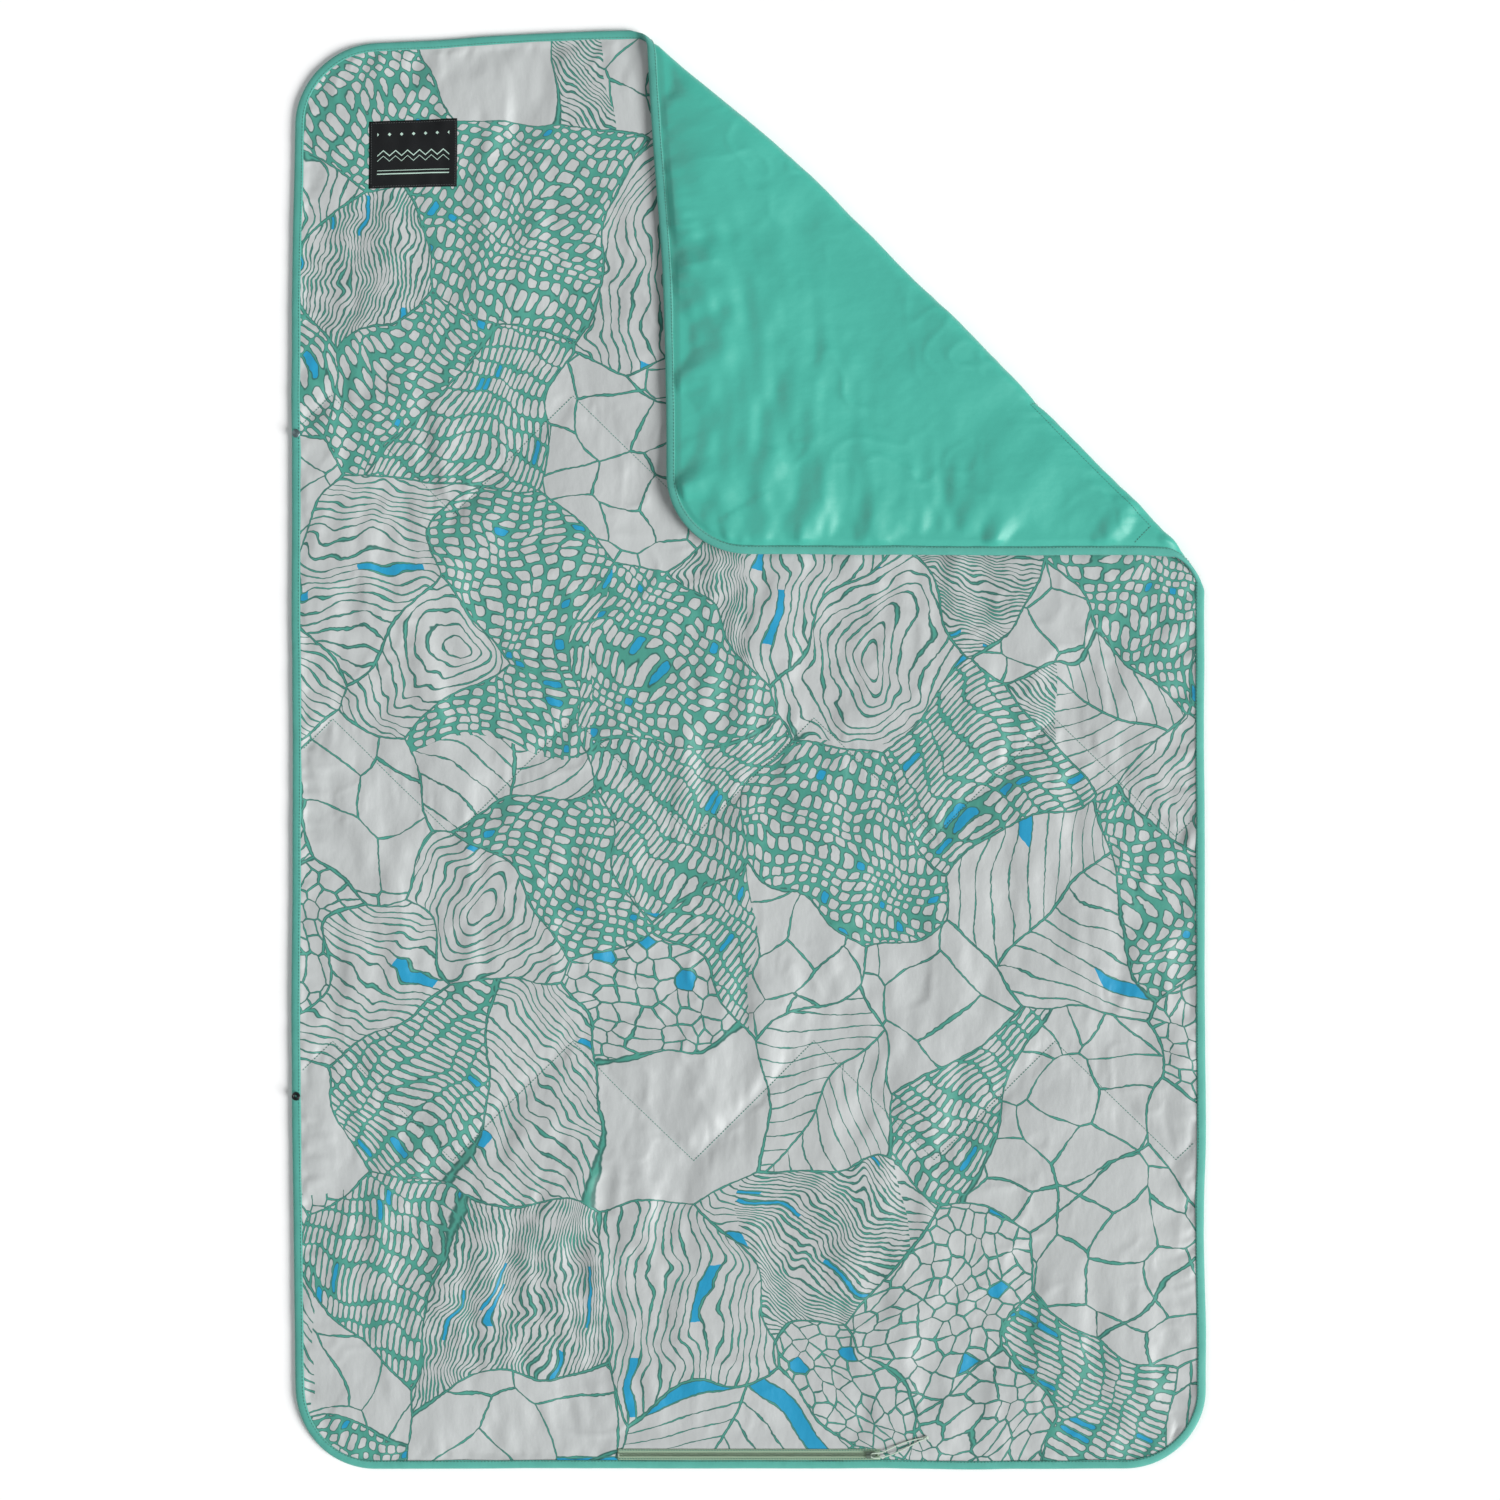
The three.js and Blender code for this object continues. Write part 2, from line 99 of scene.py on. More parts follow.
# The hem zip.
ZIP_LOW, ZIP_HIGH = box_mm("zip_tape_upper")
ZIP_HALF_LENGTH = ZIP_HIGH[0]
SLIDER_LOW, SLIDER_HIGH = box_mm("zip_slider")
SLIDER_X = (SLIDER_LOW[0] + SLIDER_HIGH[0]) / 2.0
ZIP_Y = (SLIDER_LOW[1] + SLIDER_HIGH[1]) / 2.0
ZIP_FACE = ZIP_LOW[2] - 0.25

# The cloth grid: a coarse one for the simulation, each of its steps then cut in three.
SHELL_INSET = 3.0
CLOTH_STEP = 10.5
CLOTH_CUTS = 3
CLOTH_FRAMES = 16


# Random values repeat over a square of this many cells, and the blanket's middle is here in it.
NOISE_CELLS = 64
NOISE_START = (23.0, 29.0)


# ---------------------------------------------------------------- shapes in the flat

def smooth(low, high, value):
    """0 below low, 1 above high, and an even S between."""
    share = np.clip((value - low) / (high - low), 0.0, 1.0)
    return share * share * (3.0 - 2.0 * share)


def in_between(field, rows, columns, across, along):
    """A field's value between four of its places, given the rows and columns on either side."""
    near = field[rows[0], columns[0]] * (1 - across) + field[rows[0], columns[1]] * across
    far = field[rows[1], columns[0]] * (1 - across) + field[rows[1], columns[1]] * across
    return near * (1 - along) + far * along


def value_noise(x, y, size, seed):
    """Soft bumps of about the given size, between -1 and 1."""
    lattice = np.random.default_rng(seed).uniform(-1.0, 1.0, (NOISE_CELLS, NOISE_CELLS))
    u = np.asarray(x) / size + NOISE_START[0]
    v = np.asarray(y) / size + NOISE_START[1]
    column = np.floor(u).astype(int)
    row = np.floor(v).astype(int)
    across = smooth(0.0, 1.0, u - column)
    along = smooth(0.0, 1.0, v - row)
    rows = (row % NOISE_CELLS, (row + 1) % NOISE_CELLS)
    columns = (column % NOISE_CELLS, (column + 1) % NOISE_CELLS)
    return in_between(lattice, rows, columns, across, along)


def edge_distance(x, y):
    """How far a point of the flat quilt is inside the outline."""
    across = np.abs(x) - (HALF_WIDTH - CORNER_RADIUS)
    along = np.abs(y) - (HALF_LENGTH - CORNER_RADIUS)
    beyond = np.hypot(np.maximum(across, 0.0), np.maximum(along, 0.0))
    return CORNER_RADIUS - beyond - np.minimum(np.maximum(across, along), 0.0)


def zigzag(x):
    """Height of a quilting row above its middle line."""
    phase = (x - QUILT_VALLEY_X) / QUILT_PERIOD
    return QUILT_HALF_HEIGHT * (4.0 * np.abs(phase - np.round(phase)) - 1.0)


def row_distance(x, y, row_y):
    """Distance to a quilting row."""
    phase = (x - QUILT_VALLEY_X) / QUILT_PERIOD
    across = np.abs(phase - np.round(phase)) * QUILT_PERIOD
    half = QUILT_PERIOD / 2.0
    rise = 2.0 * QUILT_HALF_HEIGHT
    up = y - row_y + QUILT_HALF_HEIGHT
    share = np.clip((across * half + up * rise) / (half * half + rise * rise), 0.0, 1.0)
    return np.hypot(across - share * half, up - share * rise)


def nearest_row(x, y):
    """Distance to the nearest quilting row."""
    return np.minimum.reduce([row_distance(x, y, row_y) for row_y in QUILT_ROWS.values()])


def zip_nearness(x, y):
    """1 under the zip tapes, fading to 0 about 30 mm away."""
    tape_width = 8.0
    beside = np.maximum(np.abs(x) - ZIP_HALF_LENGTH, 0.0)
    above = np.maximum(y - (ZIP_Y + tape_width), 0.0)
    return 1.0 - smooth(0.0, 30.0, np.hypot(beside, above))


def cord_nearness(x, y):
    """1 under the loose end of the pull cord, fading to 0 about 40 mm away."""
    start_x, start_y = SLIDER_X + 14.0, ZIP_Y + 5.0
    run_x, run_y = 56.0, 17.0
    along = np.clip((x - start_x) / run_x, 0.0, 1.0)
    away = np.hypot(x - start_x - run_x * along, y - start_y - run_y * along)
    return 1.0 - smooth(9.0, 42.0, away)


def settle(x, y):
    """Small unevenness of the outline as the blanket lies spread out by hand: the upper left corner
    is pulled down, the left side bows in at its ends, and every edge waves a little."""
    drop = CORNER_DROP * smooth(450.0, HALF_LENGTH, y) * smooth(120.0, 560.0, -x)
    bow = LEFT_BOW * np.abs(y / HALF_LENGTH) ** 4 * smooth(0.0, HALF_WIDTH, -x)
    wave_x = 1.6 * value_noise(x, y, 150.0, 3) + 0.5 * value_noise(x, y, 55.0, 4)
    wave_y = 1.6 * value_noise(x, y, 150.0, 5) + 0.5 * value_noise(x, y, 55.0, 6)
    return x + bow + wave_x, y - drop + wave_y


def lay_out(x, y, z):
    """Where a point of the flat quilt lies once its corner is folded over: an array of x, y, z."""
    x, y = settle(np.asarray(x, float), np.asarray(y, float))
    root = math.sqrt(2.0)
    q = (x + y) / root
    p = (y - x) / root
    crease = ROLL_START
    crease = crease - UPPER_CREASE_SHIFT * smooth(400.0, 720.0, p)
    crease = crease - LOWER_CREASE_SHIFT * smooth(170.0, 270.0, -p)
    angle = np.clip((q - crease) / ROLL_RADIUS, 0.0, math.pi)
    beyond = np.maximum(q - crease - math.pi * ROLL_RADIUS, 0.0)
    reach = FOLD_HEIGHT - z
    q = np.minimum(q, crease) + reach * np.sin(angle) - beyond
    p = p + FLAP_SLIDE * smooth(0.0, math.pi, angle)
    return np.stack([(q - p) / root, (q + p) / root, FOLD_HEIGHT - reach * np.cos(angle)], axis=-1)


def fold_progress(x, y):
    """0 where the quilt lies flat, 1 on the folded corner."""
    return smooth(ROLL_START, ROLL_START + math.pi * ROLL_RADIUS, (x + y) / math.sqrt(2.0))


# ---------------------------------------------------------------- meshes

TURNED_SIDES = 48


def mesh_object(name, points_mm, faces, materials, flat=None):
    """A smooth mesh piece. flat is each vertex's place in the flat quilt, which patterns follow."""
    mesh = bpy.data.meshes.new(name)
    mesh.from_pydata((np.asarray(points_mm) * MM).tolist(), [], np.asarray(faces).tolist())
    mesh.polygons.foreach_set("use_smooth", np.ones(len(mesh.polygons), bool))
    if flat is not None:
        layer = mesh.uv_layers.new(name="flat")
        corners = np.empty(len(mesh.loops), np.int32)
        mesh.loops.foreach_get("vertex_index", corners)
        layer.data.foreach_set("uv", (np.asarray(flat)[corners] * MM).astype(np.float32).ravel())
    mesh.update()
    piece = bpy.data.objects.new(name, mesh)
    bpy.context.scene.collection.objects.link(piece)
    for material in materials:
        mesh.materials.append(material)
    return piece


def grid_faces(rows, columns, flip=False):
    """Quads of a grid of points that is stored row by row."""
    index = np.arange(rows * columns).reshape(rows, columns)
    corners = [index[:-1, :-1], index[:-1, 1:], index[1:, 1:], index[1:, :-1]]
    if flip:
        corners.reverse()
    return np.stack(corners, axis=-1).reshape(-1, 4)


def sweep_faces(sections, around):
    """Quads of a skin over sections that come back to the first, each section a closed ring."""
    index = np.arange(sections * around).reshape(sections, around)
    ahead = np.roll(index, -1, axis=0)
    corners = [index, np.roll(index, -1, axis=1), np.roll(ahead, -1, axis=1), ahead]
    return np.stack(corners, axis=-1).reshape(-1, 4)


def looped_tube(name, centres_mm, radius, sides, materials):
    """A round tube along points that come back to where they started."""
    centres = np.asarray(centres_mm, float)
    headings = np.roll(centres, -1, axis=0) - np.roll(centres, 1, axis=0)
    headings /= np.linalg.norm(headings, axis=1, keepdims=True)
    points = []
    for centre, heading in zip(centres, headings):
        across = np.cross(heading, (0.0, 0.0, 1.0))
        across /= np.linalg.norm(across)
        over = np.cross(across, heading)
        for side in range(sides):
            turn = 2.0 * math.pi * side / sides
            points.append(centre + radius * (math.cos(turn) * across + math.sin(turn) * over))
    return mesh_object(name, points, sweep_faces(len(centres), sides), materials)


def turned(name, profile, x, y, materials):
    """A piece turned round an upright axis from a closed profile of radius and height."""
    points = []
    for angle in 2.0 * math.pi * np.arange(TURNED_SIDES) / TURNED_SIDES:
        points.extend((x + r * math.cos(angle), y + r * math.sin(angle), z) for r, z in profile)
    return mesh_object(name, points, sweep_faces(TURNED_SIDES, len(profile))[:, ::-1], materials)


def stands_for(piece, slot, *cad_nodes, body=None):
    """Puts a piece in the place of CAD nodes. It rides on one body, or if none is given its transform
    is baked into its mesh."""
    if body:
        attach(piece, body)
    else:
        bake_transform(piece)
    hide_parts(*cad_nodes)


# ---------------------------------------------------------------- the quilt's two shells

def rounded_grid(step_counts):
    """Flat places of a grid over the quilt, drawn in at the corners to the rounded outline."""
    half_width = HALF_WIDTH - SHELL_INSET
    half_length = HALF_LENGTH - SHELL_INSET
    radius = CORNER_RADIUS - SHELL_INSET
    x, y = np.meshgrid(
        np.linspace(-half_width, half_width, step_counts[0] + 1),
        np.linspace(-half_length, half_length, step_counts[1] + 1),
    )
    inner_x = half_width - radius
    inner_y = half_length - radius
    u = np.clip((np.abs(x) - inner_x) / radius, 0.0, 1.0)
    v = np.clip((np.abs(y) - inner_y) / radius, 0.0, 1.0)
    round_x = inner_x + radius * u * np.sqrt(1.0 - v * v / 2.0)
    round_y = inner_y + radius * v * np.sqrt(1.0 - u * u / 2.0)
    x = np.where(u > 0.0, np.sign(x) * round_x, x)
    y = np.where(v > 0.0, np.sign(y) * round_y, y)
    return x, y


def finer(field, cuts):
    """A field on the coarse grid, drawn smoothly through its values on a grid cut finer."""
    for _ in range(2):
        padded = np.concatenate([2 * field[:1] - field[1:2], field, 2 * field[-1:] - field[-2:-1]])
        before, low, high, after = padded[:-3], padded[1:-2], padded[2:-1], padded[3:]
        rows = np.empty((len(low) * cuts + 1,) + field.shape[1:])
        for cut in range(cuts):
            t = cut / cuts
            rows[cut:-1:cuts] = 0.5 * (
                2 * low
                + t * (high - before)
                + t * t * (2 * before - 5 * low + 4 * high - after)
                + t * t * t * (3 * low - before - 3 * high + after)
            )
        rows[-1] = field[-1]
        field = rows.T
    return field


def let_fabric_go(x, y, seed):
    """Cloth simulation of a shell cut larger than the fill, held at its seams: how far it lifts."""
    distance = np.minimum(nearest_row(x, y), edge_distance(x, y) - SHELL_INSET)
    start = 5.0 * (1.0 - np.exp(-distance / 30.0))
    start += 1.2 * value_noise(x, y, 45.0, seed) + 0.6 * value_noise(x, y, 24.0, seed + 1)
    points = np.stack([x, y, start], axis=-1).reshape(-1, 3)
    shell = mesh_object("shell_for_simulation", points, grid_faces(*x.shape), [])
    pins = shell.vertex_groups.new(name="seams")
    at_seam = distance.ravel() < 0.45 * CLOTH_STEP
    pins.add(np.flatnonzero(at_seam).tolist(), 1.0, "REPLACE")
    cloth = shell.modifiers.new("loose_shell", "CLOTH")
    fabric = cloth.settings
    fabric.quality = 4
    fabric.mass = 0.1
    fabric.tension_stiffness = 15.0
    fabric.compression_stiffness = 15.0
    fabric.shear_stiffness = 5.0
    fabric.bending_stiffness = 20.0
    fabric.shrink_min = -SHELL_SLACK
    fabric.shrink_max = -SHELL_SLACK
    fabric.vertex_group_mass = "seams"
    fabric.effector_weights.gravity = 0.0
    cloth.collision_settings.use_collision = False
    cloth.point_cache.frame_end = CLOTH_FRAMES
    for moment in range(1, CLOTH_FRAMES + 1):
        bpy.context.scene.frame_set(moment)
    evaluated = shell.evaluated_get(bpy.context.evaluated_depsgraph_get())
    moved = np.empty(3 * x.size)
    evaluated.data.vertices.foreach_get("co", moved)
    bpy.context.scene.frame_set(1)
    bpy.data.objects.remove(shell)
    return moved.reshape(x.shape + (3,))[..., 2] / MM


def seam_puckers(x, y, seed):
    """Fine gathers that run away from the quilting and from the binding, in parts of 1."""
    along = x * math.sqrt(1.0 + QUILT_SLOPE**2)
    gather = np.zeros_like(x)
    for row_number, row_y in QUILT_ROWS.items():
        near = row_distance(x, y, row_y)
        fade = np.exp(-near / 11.0) * (1.0 - np.exp(-near / 3.0))
        gather += fade * value_noise(along, near * 0.35, 7.0, seed + row_number)
    rim = edge_distance(x, y) - BINDING_WIDTH
    round_edge = np.where(np.abs(x) * HALF_LENGTH > np.abs(y) * HALF_WIDTH, y, x)
    reach = 16.0 + 9.0 * value_noise(x, y, 70.0, seed + 8)
    fade = np.exp(-np.maximum(rim, 0.0) / reach)
    along_edge = round_edge + 0.35 * value_noise(x, y, 60.0, seed + 9) * rim
    gather += fade * value_noise(along_edge, rim * 0.3, 9.0, seed)
    return gather


def hem_folds(x, y, seed):
    """Folds that rise from the hem and lean over as they fade, in parts of 1."""
    rim = np.maximum(edge_distance(x, y) - BINDING_WIDTH, 0.0)
    round_edge = np.where(np.abs(x) * HALF_LENGTH > np.abs(y) * HALF_WIDTH, y, x)
    leaning = round_edge + (0.45 + 0.3 * value_noise(x, y, 260.0, seed)) * rim
    reach = 52.0 + 36.0 * value_noise(leaning, rim * 0.0, 75.0, seed + 1)
    fade = np.exp(-((rim / reach) ** 1.6)) * (1.0 - 0.7 * np.exp(-rim / 5.0))
    return fade * value_noise(leaning, rim * 0.12, 27.0, seed + 2)


def long_folds(x, y, seed):
    """Soft folds that run mostly along the blanket, in parts of 1."""
    lean = 42.0 * value_noise(x, y, 320.0, seed)
    broad = value_noise(x + lean, y / 3.2, 29.0, seed + 1)
    fine = value_noise(x + lean, y / 2.2, 15.0, seed + 2)
    where = smooth(-0.35, 0.4, value_noise(x, y, 190.0, seed + 3))
    return where * (0.75 * broad + 0.35 * fine)


def creases(x, y, seed):
    """Short bent ridges where the shell has buckled, in parts of 1."""
    bend_x = x + 16.0 * value_noise(x, y, 46.0, seed)
    bend_y = y + 16.0 * value_noise(x, y, 46.0, seed + 1)
    ridges = np.zeros_like(x)
    for size, share, offset in ((46.0, 1.0, 2), (26.0, 0.6, 5)):
        level = value_noise(bend_x, bend_y, size, seed + offset)
        here = smooth(-0.1, 0.55, value_noise(x, y, 2.4 * size, seed + offset + 1))
        ridges += share * here * np.exp(-np.sqrt(level * level + 0.003) / 0.16)
    return ridges


def eased_below(height, ceiling, ease):
    """Heights under a ceiling: they level out over the last part below it."""
    over = np.maximum(height - (ceiling - ease), 0.0)
    return height + ease * np.tanh(over / ease) - over


# The shells' heights and folds, in mm. The loft is pinched at each seam, and the pinch fades over
# the given lengths. Heights level out towards a floor and a ceiling over the last part, the ease.
ROW_FADE = 10.0
RIM_FADE = 20.0
FACE_LOFT = 7.8
FACE_ROW_PINCH = 4.9
FACE_RIM_PINCH = 1.1
FACE_FLOOR = 3.2
FACE_EASE = 1.2
FACE_IN_BINDING = 7.0
BACK_LOFT = 4.0
BACK_ROW_PINCH = 4.8
BACK_RIM_PINCH = 6.8
BACK_CEILING = 2.0
BACK_EASE = 1.0
BACK_IN_BINDING = 4.0
# Shells are cut larger than the fill by this share, and the simulation then lifts them about so far.
SHELL_SLACK = 0.010
USUAL_LIFT = 8.5


class Quilt:
    """The heights of the two shells over one fine grid in the flat."""

    def __init__(self):
        counts = (round(2 * HALF_WIDTH / CLOTH_STEP), round(2 * HALF_LENGTH / CLOTH_STEP))
        coarse_x, coarse_y = rounded_grid(counts)
        self.x, self.y = rounded_grid((counts[0] * CLOTH_CUTS, counts[1] * CLOTH_CUTS))
        face_lift = let_fabric_go(coarse_x, coarse_y, 11)
        back_lift = let_fabric_go(coarse_x, coarse_y, 17)
        self.face = self.face_heights(finer(face_lift, CLOTH_CUTS))
        self.back = self.back_heights(finer(back_lift, CLOTH_CUTS))

    def lofts(self):
        """How far the quilting and the binding hold the loft down, how loose the shell is between
        them, and how far it is tucked into the binding."""
        by_row = np.exp(-nearest_row(self.x, self.y) / ROW_FADE)
        inset = edge_distance(self.x, self.y)
        by_rim = np.exp(-np.maximum(inset - BINDING_WIDTH, 0.0) / RIM_FADE)
        loose = (1.0 - 0.75 * by_row) * (1.0 - 0.8 * by_rim)
        tucked = 1.0 - smooth(BINDING_WIDTH + 0.5, BINDING_WIDTH + 6.5, inset)
        return by_row, by_rim, loose, tucked

    def face_heights(self, lift):
        """The printed shell: plump between its seams, level under the zip and the pull cord."""
        by_row, by_rim, loose, tucked = self.lofts()
        plump = FACE_LOFT - np.maximum(FACE_ROW_PINCH * by_row, FACE_RIM_PINCH * by_rim)
        folds = 2.6 * np.tanh((lift - USUAL_LIFT) / 8.0) + 4.2 * long_folds(self.x, self.y, 40)
        folds += 2.8 * creases(self.x, self.y, 140) - 0.6
        gathers = 3.0 * seam_puckers(self.x, self.y, 50) + 2.4 * hem_folds(self.x, self.y, 54)
        height = plump + loose * folds + gathers
        for near, level in (
            (zip_nearness(self.x, self.y), ZIP_FACE),
            (cord_nearness(self.x, self.y), FACE_CEILING - 0.1),
        ):
            height = height * (1.0 - near) + level * near
        height = eased_below(height, FACE_CEILING, FACE_EASE)
        height = -eased_below(-height, -FACE_FLOOR, FACE_EASE)
        return height * (1.0 - tucked) + FACE_IN_BINDING * tucked

    def back_heights(self, lift):
        """The plain shell: nearly flat where it lies on the ground, plump on the folded corner."""
        by_row, by_rim, loose, tucked = self.lofts()
        folds = 2.4 * np.tanh((lift - USUAL_LIFT) / 9.0) + 3.0 * long_folds(self.y, self.x, 70)
        folds += 1.5 * creases(self.x, self.y, 170)
        on_ground = BACK_LOW + np.maximum(1.2 * by_row, 3.0 * by_rim)
        on_ground += 0.4 * np.maximum(loose * folds, 0.0)
        gathers = 2.0 * seam_puckers(self.x, self.y, 80) + 6.4 * hem_folds(self.x, self.y, 84)
        pinch = np.maximum(BACK_ROW_PINCH * by_row, BACK_RIM_PINCH * by_rim)
        folded = -BACK_LOFT + pinch - 1.9 * loose * folds - gathers
        share = fold_progress(self.x, self.y)
        height = eased_below(on_ground * (1.0 - share) + folded * share, BACK_CEILING, BACK_EASE)
        return height * (1.0 - tucked) + BACK_IN_BINDING * tucked

    def height(self, field, x, y):
        """The height of a shell at places away from the rounded corners."""
        rows, columns = self.x.shape
        half_width = HALF_WIDTH - SHELL_INSET
        half_length = HALF_LENGTH - SHELL_INSET
        u = (np.asarray(x) + half_width) / (2 * half_width) * (columns - 1)
        v = (np.asarray(y) + half_length) / (2 * half_length) * (rows - 1)
        column = np.clip(np.floor(u).astype(int), 0, columns - 2)
        row = np.clip(np.floor(v).astype(int), 0, rows - 2)
        return in_between(field, (row, row + 1), (column, column + 1), u - column, v - row)


# ---------------------------------------------------------------- materials

def linear(hex_colour):
    """An sRGB hex colour as the linear one that shaders work in."""
    shares = [int(hex_colour[place:place + 2], 16) / 255.0 for place in (1, 3, 5)]
    return tuple(s / 12.92 if s <= 0.04045 else ((s + 0.055) / 1.055) ** 2.4 for s in shares) + (1.0,)


def node(tree, kind, inputs=None, **settings):
    """Adds a node. Each input is a value, a node's first output, or a (node, output) pair."""
    made = tree.nodes.new(f"ShaderNode{kind}")
    for setting, value in settings.items():
        setattr(made, setting, value)
    for socket, source in (inputs or {}).items():
        if isinstance(source, bpy.types.Node):
            source = (source, 0)
        if isinstance(source, tuple) and isinstance(source[0], bpy.types.Node):
            tree.links.new(source[0].outputs[source[1]], made.inputs[socket])
        else:
            made.inputs[socket].default_value = source
    return made


def new_material(name):
    """An empty material, its node tree and the place in the flat quilt in millimetres."""
    material = bpy.data.materials.new(name)
    material.use_nodes = True
    tree = material.node_tree
    tree.nodes.clear()
    flat = node(tree, "UVMap", uv_map="flat")
    place = node(tree, "VectorMath", {0: flat, "Scale": 1.0 / MM}, operation="SCALE")
    return material, tree, place


def finish_material(tree, colour, bump, roughness, **shader_settings):
    """Joins colour and bump to the shader. Colour is linear or a (node, output) pair."""
    inputs = {"Base Color": colour, "Roughness": roughness}
    if bump is not None:
        inputs["Normal"] = bump
    inputs.update({socket.replace("_", " "): value for socket, value in shader_settings.items()})
    shader = node(tree, "BsdfPrincipled", inputs)
    node(tree, "OutputMaterial", {"Surface": shader})


def weave_bump(tree, place, thread, depth, crinkle=0.0, crinkle_size=14.0):
    """Over-and-under threads at the given spacing in mm, on cloth with fine creases."""
    turn = 2.0 * math.pi / thread
    wave = node(tree, "VectorMath", {0: place, "Scale": turn}, operation="SCALE")
    wave = node(tree, "VectorMath", {0: wave}, operation="SINE")
    split = node(tree, "SeparateXYZ", {0: wave})
    threads = node(tree, "Math", {0: (split, 0), 1: (split, 1)}, operation="MULTIPLY")
    bump = node(tree, "Bump", {"Height": threads, "Distance": depth * MM, "Strength": 0.6})
    if crinkle:
        stretched = node(tree, "VectorMath", {0: place, 1: (1.0, 0.55, 1.0)}, operation="MULTIPLY")
        settings = {"Vector": stretched, "Scale": 1.0 / crinkle_size, "Detail": 3.0}
        fine_creases = node(tree, "TexNoise", settings)
        settings = {"Height": fine_creases, "Distance": crinkle * MM, "Strength": 1.0, "Normal": bump}
        bump = node(tree, "Bump", settings)
    return bump


def mottled(tree, place, light, dark, size):
    """Two close shades in soft patches, as dye takes unevenly."""
    patches = node(tree, "TexNoise", {"Vector": place, "Scale": 1.0 / size, "Detail": 2.0})
    return node(tree, "Mix", {0: patches, 6: linear(dark), 7: linear(light)}, data_type="RGBA"), 2


# Threads are 0.15 mm apart on the real taffeta, too fine to show, so they are drawn coarser.
TAFFETA_THREAD = 1.1

# The print's patterns, each on a share of the patches. pitch and cross are the spacings of the
# lines and of what divides them, in mm; ink is about half the line's width, and 0 leaves the patch
# plain. Lines run straight, round in rings or as the ribs of a leaf. web is the size of the cells
# that take the place of lines.
PATTERNS = [
    {"share": 0.06, "pitch": 40.0, "cross": 70.0, "ink": 0.0, "lines": "straight"},
    {"share": 0.15, "pitch": 11.5, "cross": 70.0, "ink": 2.1, "lines": "straight"},
    {"share": 0.17, "pitch": 15.0, "cross": 13.0, "ink": 3.1, "lines": "straight", "divided": True},
    {"share": 0.11, "pitch": 62.0, "cross": 70.0, "ink": 2.4, "lines": "straight", "web": 62.0},
    {"share": 0.10, "pitch": 11.0, "cross": 70.0, "ink": 2.0, "lines": "rings"},
    {"share": 0.08, "pitch": 27.0, "cross": 9.5, "ink": 2.7, "lines": "straight", "divided": True},
    {"share": 0.10, "pitch": 24.0, "cross": 70.0, "ink": 2.0, "lines": "ribs"},
    {"share": 0.07, "pitch": 21.0, "cross": 70.0, "ink": 2.2, "lines": "straight", "web": 21.0},
    {"share": 0.08, "pitch": 5.6, "cross": 70.0, "ink": 1.9, "lines": "straight"},
    {"share": 0.08, "pitch": 90.0, "cross": 70.0, "ink": 2.4, "lines": "straight", "web": 90.0},
]
PATCH_SIZE = 185.0
CELL_ROUNDING = 3.0
MIDRIB_HALF_WIDTH = 1.7
BLUE_SHARE = 0.028


def pattern_ramp(tree, choice, colour_of):
    """A ramp that gives each pattern its own constant colour over its share."""
    ramp = node(tree, "ValToRGB", {0: choice})
    ramp.color_ramp.interpolation = "CONSTANT"
    stops = ramp.color_ramp.elements
    stops.remove(stops[0])
    start = 0.0
    for number, pattern in enumerate(PATTERNS):
        stop = stops[0] if number == 0 else stops.new(min(start, 1.0))
        stop.position = start
        stop.color = colour_of(pattern) + (1.0,)
        start += pattern["share"]
    return ramp


def swayed(tree, place, moved, size, reach):
    """The place called moved, pushed about softly by up to half the reach each way, in mm."""
    sway = node(tree, "TexNoise", {"Vector": place, "Scale": 1.0 / size, "Detail": 1.0})
    sway = node(tree, "VectorMath", {0: (sway, "Color"), 1: (0.5, 0.5, 0.5)}, operation="SUBTRACT")
    sway = node(tree, "VectorMath", {0: sway, 1: (reach, reach, 0.0)}, operation="MULTIPLY")
    return node(tree, "VectorMath", {0: moved, 1: sway}, operation="ADD")


